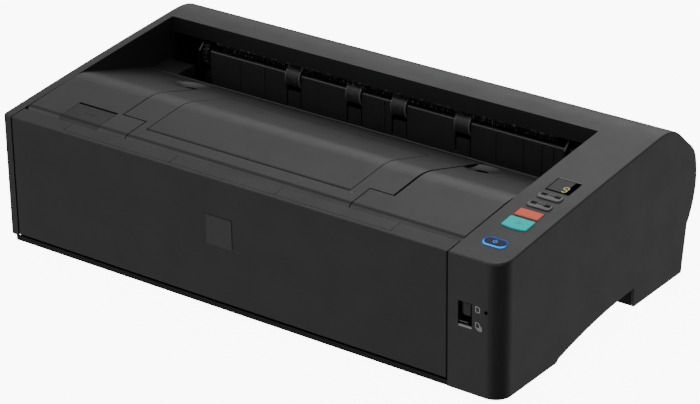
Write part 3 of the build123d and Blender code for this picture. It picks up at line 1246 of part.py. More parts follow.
def pickup_holder():
    """The swing holder of the pickup roller, on the shaft of the feed roller."""
    low = (PICKUP_AXIS[0] - 5.0, PICKUP_AXIS[1] - 5.0)
    front_top = (PICKUP_AXIS[0] - 5.0, PICKUP_AXIS[1] + HOLDER_RISE)
    rear_top = (FEED_AXIS[0] + 5.0, FEED_AXIS[1] + HOLDER_RISE - 1.0)
    outer = (CENTRE - HOLDER_HALF, CENTRE + HOLDER_HALF)
    holder = slab(
        outer,
        outline(
            (front_top[0], front_top[1] - SIDE_SHEET),
            front_top,
            rear_top,
            (rear_top[0], rear_top[1] - SIDE_SHEET),
        ),
    )
    for x in ((outer[0], outer[0] + SIDE_SHEET), (outer[1] - SIDE_SHEET, outer[1])):
        side = slab(x, outline(low, front_top, rear_top, (rear_top[0], FEED_AXIS[1] - 5.0)))
        side -= bar((x[0] - 1, x[1] + 1), FEED_AXIS, SHAFT_RADIUS + SHAFT_FIT)
        holder += side - bar((x[0] - 1, x[1] + 1), PICKUP_AXIS, PICKUP_SHAFT + SHAFT_FIT)
    return holder


def data_port():
    """A square data port with its cavity, set in the rear wall."""
    x = (PORT_X - PORT_SIZE[0] / 2 + 0.1, PORT_X + PORT_SIZE[0] / 2 - 0.1)
    y = (REAR - CONNECTOR_DEPTH - 6.0, REAR - 5.4)
    block = span(x, y, (PORT_Z[0] + 0.1, PORT_Z[1] - 0.1))
    block -= span((x[0] + 1.5, x[1] - 1.5), (y[1] - PORT_CAVITY, y[1] + 1), (PORT_Z[0] + 1.8, PORT_Z[1] - 1.8))
    tongue_z = (PORT_Z[0] + 4.5, PORT_Z[0] + 6.5)
    return block + span((x[0] + 3.5, x[1] - 3.5), (y[1] - PORT_CAVITY - 0.5, y[1] - 1), tongue_z)


def power_inlet():
    """The round low-voltage inlet with its centre pin, set in the lower rear wall."""
    x = (INLET_X - INLET_SIZE[0] / 2 + 0.1, INLET_X + INLET_SIZE[0] / 2 - 0.1)
    y = (connector_y()[0], connector_y()[1] - 0.4)
    middle = sum(INLET_Z) / 2
    block = span(x, y, (INLET_Z[0] + 0.1, INLET_Z[1] - 0.1))
    bore = Pos(INLET_X, y[1] - 4.5, middle) * Rot(90, 0, 0) * Cylinder(INLET_BORE, 9.2)
    pin = Pos(INLET_X, y[1] - 5.3, middle) * Rot(90, 0, 0) * Cylinder(INLET_PIN, 8.6)
    return block - bore + pin


def main_board():
    """The control board on four posts above the floor of the column."""
    x = (BAY_RIGHT + INNER_WALL + 3.0, RIGHT - WALL - 2.0)
    y = (BAY_REAR + 6.0, REAR - 22.0)
    board = span(x, y, (BOARD_HEIGHT, BOARD_HEIGHT + BOARD_THICKNESS))
    for post_x in (x[0] + 4.0, x[1] - 6.0):
        for post_y in (y[0] + 4.0, y[1] - 4.0):
            post = Cylinder(BOARD_POST, BOARD_HEIGHT - FLOOR_TOP, align=(Align.CENTER, Align.CENTER, Align.MIN))
            board += Pos(post_x, post_y, FLOOR_TOP) * post
    return board


def screw_places():
    """Where the eight screws stand in the base."""
    return [(x, y) for x in SCREW_X for y in SCREW_Y]


def case_screws():
    """Eight screws up through the base."""
    screws = []
    for x, y in screw_places():
        head = Cylinder(*SCREW_HEAD) - Pos(0, 0, -SCREW_SLOT[2]) * Box(*SCREW_SLOT)
        body = Pos(0, 0, (SCREW_HEAD[1] + SCREW_BODY[1]) / 2) * Cylinder(*SCREW_BODY)
        screws.append(Pos(x, y, FLOOR_GAP + SCREW_HEAD[1] / 2) * (head + body))
    return Compound(children=screws)


def drilled(base):
    """The base with a countersunk hole for each screw."""
    for x, y in screw_places():
        base -= Pos(x, y, FLOOR_GAP + SCREW_HEAD[1] / 2 - 0.5) * Cylinder(SCREW_HEAD[0] + 0.1, SCREW_HEAD[1] + 1.0)
        base -= Pos(x, y, FLOOR_GAP + 3.0) * Cylinder(SCREW_BODY[0] + 0.05, 8.0)
    return base


def pieces():
    """Every node of the scanner with its shape."""
    left_plate = (SIDE_LEFT, SIDE_LEFT + SIDE_SHEET)
    right_plate = (SIDE_RIGHT, SIDE_RIGHT + SIDE_SHEET)
    lower_top = PATH_HEIGHT - GUIDE_SHEET
    upper_foot = PATH_HEIGHT + 2 * PATH_HALF_GAP
    upper_rest = upper_foot + GUIDE_SHEET
    nodes = {
        "outer_case": outer_case(),
        "base_tray": drilled(base_tray()),
        "rubber_feet": rubber_feet(),
        "case_screws": case_screws(),
        "side_frame_left": side_plate(left_plate) + idler_stub(),
        "side_frame_right": side_plate(right_plate),
        "unit_hinge_pins": hinge_pins(),
        "lower_paper_guide": lower_guide(),
        "lower_image_sensor": Compound(
            children=[sensor_unit((lower_top - SENSOR_BODY, lower_top), 1), sensor_glass((lower_top, PATH_HEIGHT))]
        ),
        "inner_turn_guide": inner_turn_guide(),
        "outer_turn_guide": outer_turn_guide(),
        "eject_guide_plate": eject_guide_plate(),
        "static_brush": static_brush(),
        "drive_motor": drive_motor(),
        "motor_pinion": motor_pinion(),
        "idler_gear": idler_gear(),
        "eject_shaft": driven_shaft(EJECT_DRIVE, EJECT_PHASE),
        "eject_rollers": roller_row(EJECT_DRIVE, ROLLER_RADIUS, SHAFT_RADIUS),
        "eject_pinch_rollers": on_shaft(idler_shaft(EJECT_IDLER), roller_row(EJECT_IDLER, IDLER_RADIUS, THIN_RADIUS)),
        "turn_roller_shaft": on_shaft(
            driven_shaft(TURN_DRIVE, TURN_PHASE), roller_row(TURN_DRIVE, ROLLER_RADIUS, SHAFT_RADIUS)
        ),
        "turn_pinch_rollers": on_shaft(idler_shaft(TURN_IDLER), roller_row(TURN_IDLER, IDLER_RADIUS, THIN_RADIUS)),
        "lower_drive_belt": drive_belt(),
        "retard_bracket": retard_bracket(),
        "retard_arm": retard_arm(),
        "retard_roller": retard_roller(),
        "rear_exit_cover": rear_exit_cover(),
        "power_inlet": power_inlet(),
        "data_port": data_port(),
        "main_board": main_board(),
        "panel_board": panel_board(),
        "display_window": display_window(),
        "power_ring": power_ring(),
        "power_button": power_button(),
        "selector_knob": selector_knob(),
        "indicator_lens": indicator_lens(),
        "feed_tray_cover": feed_tray_cover(),
        "feed_tray_plate": feed_tray_plate(),
        "feed_extension": feed_extension(),
        "feed_extension_inner": feed_extension_inner(),
        "document_guide_left": document_guide(-1),
        "document_guide_right": document_guide(1),
        "guide_pinion": guide_pinion(),
        "badge_plate": badge_plate(),
        "upper_cover": upper_cover(),
        "upper_frame": upper_frame(),
        "upper_image_sensor": Compound(
            children=[sensor_unit((upper_rest, upper_rest + SENSOR_BODY), -1), sensor_glass((upper_foot, upper_rest))]
        ),
        "feed_roller": feed_roller(),
        "pickup_holder": pickup_holder(),
        "pickup_roller": pickup_roller(),
        "open_lever": open_lever(),
        "eject_tray": eject_tray(),
        "eject_stopper": eject_stopper(),
    }
    for name, y in LOWER_DRIVES.items():
        low_axis = (y, LOWER_AXIS_Z)
        high_axis = (y, UPPER_IDLER_Z)
        nodes[f"{name}_roller_shaft"] = on_shaft(
            lower_shaft(y), roller_row(low_axis, ROLLER_RADIUS, SHAFT_RADIUS)
        )
        nodes[f"{name}_idlers"] = on_shaft(free_axle(high_axis), roller_row(high_axis, IDLER_RADIUS, THIN_RADIUS))
    for name, (y, size, corner, bow) in BUTTONS.items():
        nodes[name] = panel_button(y, size, corner, bow)
    return nodes


def main():
    """Write one file for each node."""
    os.makedirs("parts", exist_ok=True)
    for name, shape in pieces().items():
        export_step(shape, f"parts/{name}.step")


main()
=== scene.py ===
import math

import bmesh
import bpy
import numpy as np
from mathutils import Matrix, Vector


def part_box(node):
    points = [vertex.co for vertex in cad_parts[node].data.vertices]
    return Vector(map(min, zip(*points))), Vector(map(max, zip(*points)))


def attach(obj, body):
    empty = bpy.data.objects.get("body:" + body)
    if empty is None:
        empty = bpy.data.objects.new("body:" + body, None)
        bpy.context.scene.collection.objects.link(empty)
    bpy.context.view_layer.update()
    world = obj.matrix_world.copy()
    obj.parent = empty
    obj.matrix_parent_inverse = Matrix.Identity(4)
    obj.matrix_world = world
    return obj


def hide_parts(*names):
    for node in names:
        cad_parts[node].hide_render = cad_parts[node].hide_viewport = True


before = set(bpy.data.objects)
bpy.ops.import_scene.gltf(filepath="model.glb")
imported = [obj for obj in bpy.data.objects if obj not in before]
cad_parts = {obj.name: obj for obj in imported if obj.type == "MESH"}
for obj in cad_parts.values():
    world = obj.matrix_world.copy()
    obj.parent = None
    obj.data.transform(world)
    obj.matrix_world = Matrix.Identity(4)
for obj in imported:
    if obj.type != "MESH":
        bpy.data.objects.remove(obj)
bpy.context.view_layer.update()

MM = 0.001

# Places that the scanner's own frame gives
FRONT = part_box("outer_case")[0].y
DISPLAY_LOW, DISPLAY_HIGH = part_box("display_window")

# Top of the case, which rises from the front edge to the crest
FRONT_HEIGHT = 100.4 * MM
CREST_HEIGHT = 120.2 * MM
CREST_Y = 76.0 * MM
TOP_CROWN = 0.8 * MM

# Upper cover, seen from the side
COVER_FRONT = -107.4 * MM
RIDGE_Y = -47.0 * MM
RIDGE_PROUD = 0.5 * MM
DESCENT_SLOPE = 0.287

# Eject rollers
ROLLER_RADIUS = 9.0 * MM
ROLLER_WIDTH = 12.0 * MM
ROLLER_OFFSETS = (-75.0 * MM, -20.0 * MM, 20.0 * MM, 75.0 * MM)
ROLLER_AXIS = (66.0 * MM, 94.0 * MM)
BAY_CENTRE = -16.65 * MM
# Light rings at both ends of each roller, which are painted highlights on the rims: their place and size
RIM_OFFSET = 0.1 * MM
RIM_INSET = 0.55 * MM
RIM_WIDTH = 0.9 * MM
RIM_HEIGHT = 1.3 * MM

# Steel cores of the roller shafts, the pickup roller and the retard roller
SHAFT_CORE = 3.2 * MM
PICKUP_CORE = 2.2 * MM
RETARD_CORE = 1.7 * MM

# Keys: the height of their tops over the panel, which the signs on them just pass
KEY_TOP = 0.9 * MM
SIGN_SINK = 0.05 * MM

# Feed selector: its slot in the column's front and the page signs beside it
SLOT_LEFT = 178.7 * MM
SLOT_RIGHT = 188.9 * MM
SIGN_X = 193.5 * MM
SHEET_SIGN_Z = 65.7 * MM
PILE_SIGN_Z = 54.3 * MM
# Heights of the two light bars in the slot, which are painted highlights on its ledge and bevel
SLOT_SILL_Z = 50.8 * MM
SLOT_RAIL_Z = 53.2 * MM

# Camera: the photograph's own angle, distance and framing, in the photograph's pixels
PHOTO_WIDTH = 700.0
PHOTO_HEIGHT = 404.0
CAMERA_AZIMUTH = 35.953
CAMERA_ELEVATION = 25.403
CAMERA_ROLL = -0.398
CAMERA_DISTANCE = 1.90333
CAMERA_TARGET = Vector((40.60 * MM, -20.80 * MM, 54.0 * MM))
FOCAL_PIXELS = 2747.2
OPTICAL_CENTRE = (376.4, 210.5)
SENSOR_WIDTH = 36.0

# Studio: the floor, the even light, and the soft patches that the plastic mirrors. Each patch has the surface
# that shows it, its direction, how narrow it is and how strong.
FLOOR_REACH = 6.0
FLOOR_GLOW = 9.0
EVEN_LIGHT = 0.40
MIRRORED_GREY = 0.015
PATCHES = (
    ("front wall", (-0.50, -0.77, -0.40), 7.0, 0.86),
    ("right side wall", (0.55, 0.72, -0.42), 6.0, 0.56),
    ("top", (-0.28, 0.79, 0.55), 12.0, 2.15),
    ("front edge of the top", (-0.53, -0.42, 0.74), 12.0, 2.60),
    ("top from behind", (0.52, -0.70, 0.48), 9.0, 1.20),
    ("right edge of the top", (0.43, 0.73, 0.53), 6.0, 0.45),
)
LAMP_AIM = (0, 0, 0.05)


def top_height(y):
    """Height of the case's top at a depth: a straight rise plus a parabola that is nought at both ends."""
    share = (y - FRONT) / (CREST_Y - FRONT)
    return FRONT_HEIGHT + (CREST_HEIGHT - FRONT_HEIGHT) * share + 4 * TOP_CROWN * share * (1 - share)


def cover_height(y):
    """Height of the upper cover: a straight rise to the ridge, then a straight descent."""
    ridge = top_height(RIDGE_Y) + RIDGE_PROUD
    rise = (ridge - top_height(COVER_FRONT)) / (RIDGE_Y - COVER_FRONT)
    return np.where(y < RIDGE_Y, ridge - rise * (RIDGE_Y - y), ridge - DESCENT_SLOPE * (y - RIDGE_Y))


def on_panel(x, y):
    """Carries flat points to the key panel: across is X, along is Y, out is height over the sloping top."""

    def carry(across, along, out):
        return np.stack([x + across, y + along, top_height(y + along) + out], -1)

    return carry


def on_cover(x, y):
    """Carries flat points to the upper cover, with out as height over its slope."""

    def carry(across, along, out):
        return np.stack([x + across, y + along, cover_height(y + along) + out], -1)

    return carry


def on_front(x, z):
    """Carries flat points to the upright front: across is X, along is Z, and out is towards the viewer."""

    def carry(across, along, out):
        return np.stack([x + across, FRONT - out + 0 * along, z + along], -1)

    return carry


def mesh_piece(name, points, faces, smooth=True):
    """An object at the origin from an array of points and a list of faces, turned outwards after its doubles
    are merged."""
    nearest = 1e-7
    mesh = bpy.data.meshes.new(name)
    mesh.from_pydata(points.reshape(-1, 3).tolist(), [], faces)
    work = bmesh.new()
    work.from_mesh(mesh)
    bmesh.ops.remove_doubles(work, verts=work.verts, dist=nearest)
    bmesh.ops.recalc_face_normals(work, faces=work.faces)
    work.to_mesh(mesh)
    work.free()
    mesh.polygons.foreach_set("use_smooth", np.full(len(mesh.polygons), smooth))
    mesh.update()
    piece = bpy.data.objects.new(name, mesh)
    bpy.context.scene.collection.objects.link(piece)
    return piece


def grid_faces(rows, columns, start=0, closed_rows=False):
    """Quads between neighbours of a grid: each joins row r, column c to the next row and the next column, and
    the last column to the first."""
    row_steps = rows if closed_rows else rows - 1
    r, c = np.meshgrid(np.arange(row_steps), np.arange(columns), indexing="ij")
    this_row = r * columns
    next_row = (r + 1) % rows * columns
    next_c = (c + 1) % columns
    quads = np.stack([this_row + c, this_row + next_c, next_row + next_c, next_row + c], -1)
    return (quads.reshape(-1, 4) + start).tolist()


def rounded_outline(width, length, radius, steps=7):
    """A rectangle with round corners: four quarter circles joined by straight runs."""
    turn = np.linspace(0, math.pi / 2, steps)
    corners = []
    for quarter, (sx, sy) in enumerate(((1, 1), (-1, 1), (-1, -1), (1, -1))):
        angle = turn + quarter * math.pi / 2
        centre = (sx * (width / 2 - radius), sy * (length / 2 - radius))
        corners.append(np.stack([centre[0] + radius * np.cos(angle), centre[1] + radius * np.sin(angle)], -1))
    return np.concatenate(corners)


def oval_outline(width, length, steps=24):
    """A slot with round ends: two half circles with the straight runs between them."""
    radius = length / 2
    turn = np.linspace(-math.pi / 2, math.pi / 2, steps)
    right = np.stack([width / 2 - radius + radius * np.cos(turn), radius * np.sin(turn)], -1)
    return np.concatenate([right, -right])


def plate(name, outline, height, rounding, place, foot=0.0):
    """A raised plate: the outline goes up, turns in along a quarter circle of the rounding, and closes on its
    middle."""
    middle = outline.mean(0)
    turn = np.linspace(0, math.pi / 2, 5)
    insets = np.concatenate([[0.0], rounding * (1 - np.cos(turn)), [rounding * 3, rounding * 8]])
    heights = np.concatenate([[foot], height - rounding + rounding * np.sin(turn), [height, height]])
    reach = np.linalg.norm(outline - middle, axis=1).min()
    share = np.clip(1 - insets / reach, 0.02, 1)[:, None, None]
    rings = middle + (outline - middle) * share
    count = len(outline)
    lift = np.repeat(heights[:, None], count, 1)
    points = place(rings[..., 0], rings[..., 1], lift)
    ends = place(middle[:1].repeat(2), middle[1:].repeat(2), np.array([height, foot]))
    points = np.concatenate([points.reshape(-1, 3), ends])
    faces = grid_faces(len(insets), count)
    last = (len(insets) - 1) * count
    top_index = len(insets) * count
    faces += [[last + i, last + (i + 1) % count, top_index] for i in range(count)]
    faces += [[i, (i + 1) % count, top_index + 1] for i in range(count)]
    return mesh_piece(name, points, faces)


def ring(name, outline, width, height, place, foot=0.0):
    """A band along a closed outline: a half ellipse of the width and height is carried round the outline,
    pushed out along the outline's own normals, and closed by its flat foot."""
    ahead = np.roll(outline, -1, 0) - np.roll(outline, 1, 0)
    normal = np.stack([ahead[:, 1], -ahead[:, 0]], -1) / np.linalg.norm(ahead, axis=1)[:, None]
    turn = np.linspace(0, math.pi, 9)
    offsets = -np.cos(turn) * width / 2
    lifts = foot + np.sin(turn) * (height - foot)
    path = outline[:, None, :] + normal[:, None, :] * offsets[None, :, None]
    points = place(path[..., 0], path[..., 1], np.repeat(lifts[None, :], len(outline), 0))
    return mesh_piece(name, points, grid_faces(len(outline), len(turn), closed_rows=True))


def strokes(name, lines, width, height, place, foot=0.0):
    """Raised lines: a rectangle of the width and height is carried along each path, square to it, with the
    corner widened by one over the cosine of half the turn, and both ends are closed."""
    least_cosine = 0.4
    all_points = []
    all_faces = []
    start = 0
    for line in lines:
        path = np.asarray(line, float)
        step = np.diff(path, axis=0)
        step /= np.linalg.norm(step, axis=1)[:, None]
        before = np.concatenate([step[:1], step])
        after = np.concatenate([step, step[-1:]])
        along = before + after
        along /= np.linalg.norm(along, axis=1)[:, None]
        stretch = 1 / np.clip((along * before).sum(1), least_cosine, 1)
        side = np.stack([-along[:, 1], along[:, 0]], -1) * (width / 2 * stretch)[:, None]
        corners = np.stack([path - side, path + side, path + side, path - side], 1)
        lift = np.repeat(np.array([[foot, foot, height, height]]), len(path), 0)
        all_points.append(place(corners[..., 0], corners[..., 1], lift).reshape(-1, 3))
        last = start + 4 * (len(path) - 1)
        all_faces += grid_faces(len(path), 4, start)
        all_faces += [[start, start + 1, start + 2, start + 3], [last, last + 1, last + 2, last + 3]]
        start += 4 * len(path)
    return mesh_piece(name, np.concatenate(all_points), all_faces, smooth=False)


def arc_path(radius, start, end, steps=16):
    """Points on a circle about the middle between two angles in degrees."""
    angle = np.radians(np.linspace(start, end, steps))
    return np.stack([radius * np.cos(angle), radius * np.sin(angle)], -1)


# Shader node groups, each built once


def group_tree(name, inputs, outputs):
    """An empty node group with named number inputs and outputs, and its two end nodes."""
    tree = bpy.data.node_groups.new(name, "ShaderNodeTree")
    for label, value in inputs:
        socket = tree.interface.new_socket(label, in_out="INPUT", socket_type="NodeSocketFloat")
        socket.default_value = value
    for label in outputs:
        tree.interface.new_socket(label, in_out="OUTPUT", socket_type="NodeSocketFloat")
    return tree, tree.nodes.new("NodeGroupInput"), tree.nodes.new("NodeGroupOutput")


def maths(tree, operation, first, second, clamp=False):
    """A Math node; each side is a socket or a number."""
    node = tree.nodes.new("ShaderNodeMath")
    node.operation = operation
    node.use_clamp = clamp
    for slot, value in ((0, first), (1, second)):
        if isinstance(value, (int, float)):
            node.inputs[slot].default_value = value
        else:
            tree.links.new(value, node.inputs[slot])
    return node.outputs[0]


def noise(tree, scale, detail, roughness=0.5):
    """Cloud noise on Object coordinates; the scale is a socket or a number, per metre."""
    place = tree.nodes.new("ShaderNodeTexCoord")
    node = tree.nodes.new("ShaderNodeTexNoise")
    node.inputs["Detail"].default_value = detail
    node.inputs["Roughness"].default_value = roughness
    tree.links.new(place.outputs["Object"], node.inputs["Vector"])
    if isinstance(scale, (int, float)):
        node.inputs["Scale"].default_value = scale
    else:
        tree.links.new(scale, node.inputs["Scale"])
    return node.outputs["Fac"]


def spread(tree, value, low, high):
    """Stretches a narrow range of a noise over nought to one, with soft ends."""
    node = tree.nodes.new("ShaderNodeMapRange")
    node.interpolation_type = "SMOOTHSTEP"
    node.inputs["From Min"].default_value = low
    node.inputs["From Max"].default_value = high
    tree.links.new(value, node.inputs["Value"])
    return node.outputs["Result"]


def build_grain():
    """Moulded grain: fine pits from cells and noise, with slow clouds of tone and of gloss."""
    inputs = [("Size", 1400.0), ("Clouds", 14.0)]
    tree, ends, out = group_tree("moulded_grain", inputs, ["Height", "Tone", "Gloss"])
    pit_share = 0.6
    cloud_share = 0.35
    speck_share = 0.65
    gloss_clouds = 38.0
    fine = noise(tree, ends.outputs["Size"], 3.0, 0.6)
    place = tree.nodes.new("ShaderNodeTexCoord")
    cells = tree.nodes.new("ShaderNodeTexVoronoi")
    cells.feature = "SMOOTH_F1"
    tree.links.new(place.outputs["Object"], cells.inputs["Vector"])
    tree.links.new(ends.outputs["Size"], cells.inputs["Scale"])
    pits = maths(tree, "MULTIPLY", cells.outputs["Distance"], pit_share)
    tree.links.new(maths(tree, "ADD", fine, pits), out.inputs["Height"])
    clouds = spread(tree, noise(tree, ends.outputs["Clouds"], 4.0), 0.3, 0.7)
    speck = spread(tree, fine, 0.35, 0.65)
    cloud_tone = maths(tree, "MULTIPLY", clouds, cloud_share)
    speck_tone = maths(tree, "MULTIPLY", speck, speck_share)
    tree.links.new(maths(tree, "ADD", cloud_tone, speck_tone), out.inputs["Tone"])
    gloss = noise(tree, gloss_clouds, 5.0, 0.62)
    tree.links.new(spread(tree, gloss, 0.32, 0.72), out.inputs["Gloss"])
    return tree


def build_edge_wear():
    """Edge wear: how far the rounded-off normal turns from the face's own, broken up by noise."""
    tree, ends, out = group_tree("edge_wear", [("Reach", 0.0006), ("Breaks", 160.0)], ["Mask"])
    soft = tree.nodes.new("ShaderNodeBevel")
    soft.samples = 4
    tree.links.new(ends.outputs["Reach"], soft.inputs["Radius"])
    flat = tree.nodes.new("ShaderNodeNewGeometry")
    dot = tree.nodes.new("ShaderNodeVectorMath")
    dot.operation = "DOT_PRODUCT"
    tree.links.new(soft.outputs["Normal"], dot.inputs[0])
    tree.links.new(flat.outputs["Normal"], dot.inputs[1])
    turned = maths(tree, "SUBTRACT", 1.0, dot.outputs["Value"])
    gain = 6.0
    edge = maths(tree, "MULTIPLY", turned, gain, clamp=True)
    broken = spread(tree, noise(tree, ends.outputs["Breaks"], 4.0), 0.25, 0.65)
    tree.links.new(maths(tree, "MULTIPLY", edge, broken), out.inputs["Mask"])
    return tree


def build_brushed():
    """Drawn metal: noise stretched along X, as height and tone."""
    tree, ends, out = group_tree("drawn_metal", [("Across", 2600.0)], ["Height", "Tone"])
    place = tree.nodes.new("ShaderNodeTexCoord")
    squeeze = tree.nodes.new("ShaderNodeMapping")
    squeeze.inputs["Scale"].default_value = (0.02, 1.0, 1.0)
    lines = tree.nodes.new("ShaderNodeTexNoise")
    lines.inputs["Detail"].default_value = 3.0
    tree.links.new(place.outputs["Object"], squeeze.inputs["Vector"])
    tree.links.new(squeeze.outputs["Vector"], lines.inputs["Vector"])
    tree.links.new(ends.outputs["Across"], lines.inputs["Scale"])
    tree.links.new(lines.outputs["Fac"], out.inputs["Height"])
    tree.links.new(spread(tree, lines.outputs["Fac"], 0.3, 0.7), out.inputs["Tone"])
    return tree


GRAIN = build_grain()
EDGE_WEAR = build_edge_wear()
DRAWN_METAL = build_brushed()


def mix_colours(tree, factor, first, second):
    """A colour mix; each side is a socket or a plain colour."""
    node = tree.nodes.new("ShaderNodeMix")
    node.data_type = "RGBA"
    tree.links.new(factor, node.inputs["Factor"])
    for slot, colour in (("A", first), ("B", second)):
        socket = [i for i in node.inputs if i.name == slot and i.type == "RGBA"][0]
        if isinstance(colour, tuple):
            socket.default_value = (*colour, 1.0)
        else:
            tree.links.new(colour, socket)
    return [o for o in node.outputs if o.type == "RGBA"][0]


def shade(colour, factor):
    """A plain colour made lighter or darker by a factor."""
    return tuple(min(1.0, c * factor) for c in colour)


def base_material(name):
    """A material with its node tree and its own Principled shader."""
    material = bpy.data.materials.new(name)
    material.use_nodes = True
    return material, material.node_tree, material.node_tree.nodes["Principled BSDF"]


def bump(tree, shader, height, distance, strength=1.0):
    """Feeds a height, in the units of the distance in metres, to the shader's normal."""
    node = tree.nodes.new("ShaderNodeBump")
    node.inputs["Strength"].default_value = strength
    node.inputs["Distance"].default_value = distance
    tree.links.new(height, node.inputs["Height"])
    tree.links.new(node.outputs["Normal"], shader.inputs["Normal"])


def grain_of(tree, size):
    """The moulded grain, placed in a material with its own size."""
    texture = tree.nodes.new("ShaderNodeGroup")
    texture.node_tree = GRAIN
    texture.inputs["Size"].default_value = size
    return texture


def moulded(name, colour, roughness, grain=1400.0, depth=0.00004, tones=(0.88, 1.12), wear=0.0, specular=0.5):
    """Moulded plastic or rubber: grain and clouds change its tone and gloss, and worn edges are lighter."""
    worn_tone = 3.2
    gloss_range = 0.05
    material, tree, shader = base_material(name)
    texture = grain_of(tree, grain)
    surface = mix_colours(tree, texture.outputs["Tone"], shade(colour, tones[0]), shade(colour, tones[1]))
    if wear:
        edges = tree.nodes.new("ShaderNodeGroup")
        edges.node_tree = EDGE_WEAR
        amount = maths(tree, "MULTIPLY", edges.outputs["Mask"], wear)
        surface = mix_colours(tree, amount, surface, shade(colour, worn_tone))
    tree.links.new(surface, shader.inputs["Base Color"])
    gloss = maths(tree, "MULTIPLY", texture.outputs["Gloss"], gloss_range)
    tree.links.new(maths(tree, "ADD", gloss, roughness - gloss_range / 2), shader.inputs["Roughness"])
    shader.inputs["Specular IOR Level"].default_value = specular
    bump(tree, shader, texture.outputs["Height"], depth)
    return material


def metal(name, colour, roughness):
    """Drawn or ground metal with fine lines along X."""
    material, tree, shader = base_material(name)
    lines = tree.nodes.new("ShaderNodeGroup")
    lines.node_tree = DRAWN_METAL
    surface = mix_colours(tree, lines.outputs["Tone"], shade(colour, 0.82), shade(colour, 1.1))
    tree.links.new(surface, shader.inputs["Base Color"])
    spread_gloss = maths(tree, "MULTIPLY", lines.outputs["Tone"], 0.12)
    tree.links.new(maths(tree, "ADD", spread_gloss, roughness), shader.inputs["Roughness"])
    shader.inputs["Metallic"].default_value = 1.0
    bump(tree, shader, lines.outputs["Height"], 0.00002)
    return material


def step_at(tree, value, limit, softness=0.0001):
    """A mask that turns from nought to one where a place passes a limit."""
    return spread(tree, value, limit - softness, limit + softness)


def object_axis(tree, axis):
    """One of the three Object coordinates, in metres."""
    place = tree.nodes.new("ShaderNodeTexCoord")
    parts = tree.nodes.new("ShaderNodeSeparateXYZ")
    tree.links.new(place.outputs["Object"], parts.inputs["Vector"])
    return parts.outputs[axis]


def display_glass():
    """Smoked pane: grey glass with a black border all round and a wider black band at its right side. Only
    the pane has a clear coat, so the border stays black."""
    material, tree, shader = base_material("display_glass")
    border = 0.9 * MM
    band = 4.2 * MM
    coat = 0.5
    x = object_axis(tree, "X")
    y = object_axis(tree, "Y")
    past_left = step_at(tree, x, DISPLAY_LOW.x + border)
    past_front = step_at(tree, y, DISPLAY_LOW.y + border)
    before_band = maths(tree, "SUBTRACT", 1.0, step_at(tree, x, DISPLAY_HIGH.x - band))
    before_rear = maths(tree, "SUBTRACT", 1.0, step_at(tree, y, DISPLAY_HIGH.y - border))
    corner = maths(tree, "MULTIPLY", past_left, past_front)
    inside = maths(tree, "MULTIPLY", corner, maths(tree, "MULTIPLY", before_band, before_rear))
    texture = grain_of(tree, 300.0)
    pane = mix_colours(tree, texture.outputs["Tone"], (0.014, 0.013, 0.016), (0.026, 0.024, 0.028))
    tree.links.new(mix_colours(tree, inside, (0.002, 0.002, 0.002), pane), shader.inputs["Base Color"])
    gloss = maths(tree, "MULTIPLY", texture.outputs["Gloss"], 0.06)
    tree.links.new(maths(tree, "ADD", gloss, 0.10), shader.inputs["Roughness"])
    tree.links.new(maths(tree, "MULTIPLY", inside, coat), shader.inputs["Coat Weight"])
    shader.inputs["Coat Roughness"].default_value = 0.13
    shader.inputs["Specular IOR Level"].default_value = 0.0
    return material


def lit(name, colour, bright, painted_rear_shade=None, strength=1.0):
    """A lit light guide. Where a darker colour is given, the glow fades to it towards the rear of the power
    key, so the front looks brightest: painted shade.
    """
    material, tree, shader = base_material(name)
    texture = grain_of(tree, 1400.0)
    glow = mix_colours(tree, texture.outputs["Tone"], shade(bright, 0.92), shade(bright, 1.08))
    if painted_rear_shade:
        # Painted shade: the glow is darkened towards the rear of the ring
        low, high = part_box("power_ring")
        rear = spread(tree, object_axis(tree, "Y"), low.y + 1.5 * MM, high.y - 4.0 * MM)
        glow = mix_colours(tree, rear, glow, painted_rear_shade)
    tree.links.new(glow, shader.inputs["Emission Color"])
    shader.inputs["Emission Strength"].default_value = strength
    surface = mix_colours(tree, texture.outputs["Tone"], shade(colour, 0.9), colour)
    tree.links.new(surface, shader.inputs["Base Color"])
    shader.inputs["Roughness"].default_value = 0.3
    return material


def circuit_board():
    """Green board: darker mask with lighter tracks from stretched cells, and a fine grain."""
    material, tree, shader = base_material("circuit_board")
    place = tree.nodes.new("ShaderNodeTexCoord")
    tracks = tree.nodes.new("ShaderNodeTexBrick")
    tracks.inputs["Scale"].default_value = 160.0
    tracks.inputs["Color1"].default_value = (0.008, 0.070, 0.026, 1.0)
    tracks.inputs["Color2"].default_value = (0.010, 0.090, 0.034, 1.0)
    tracks.inputs["Mortar"].default_value = (0.030, 0.180, 0.070, 1.0)
    tree.links.new(place.outputs["Object"], tracks.inputs["Vector"])
    tree.links.new(tracks.outputs["Color"], shader.inputs["Base Color"])
    grain = noise(tree, 900.0, 3.0)
    tree.links.new(maths(tree, "ADD", maths(tree, "MULTIPLY", grain, 0.2), 0.25), shader.inputs["Roughness"])
    bump(tree, shader, tracks.outputs["Fac"], 0.00003)
    return material


def brush_fibre():
    """Conductive fibre: dark strands with some much lighter ones, told apart by fine noise."""
    material, tree, shader = base_material("brush_fibre")
    lines = noise(tree, 420.0, 2.0)
    strands = mix_colours(tree, spread(tree, lines, 0.52, 0.72), (0.010, 0.010, 0.011), (0.16, 0.16, 0.17))
    tree.links.new(strands, shader.inputs["Base Color"])
    tree.links.new(maths(tree, "ADD", maths(tree, "MULTIPLY", lines, 0.3), 0.35), shader.inputs["Roughness"])
    bump(tree, shader, lines, 0.00004)
    return material


def from_axis(tree, y, z):
    """Distance of a point from an axis along X: the root of the sum of squares of both offsets."""
    across = maths(tree, "SUBTRACT", object_axis(tree, "Y"), y)
    rise = maths(tree, "SUBTRACT", object_axis(tree, "Z"), z)
    square = maths(tree, "ADD", maths(tree, "MULTIPLY", across, across), maths(tree, "MULTIPLY", rise, rise))
    return maths(tree, "SQRT", square, 0.0)


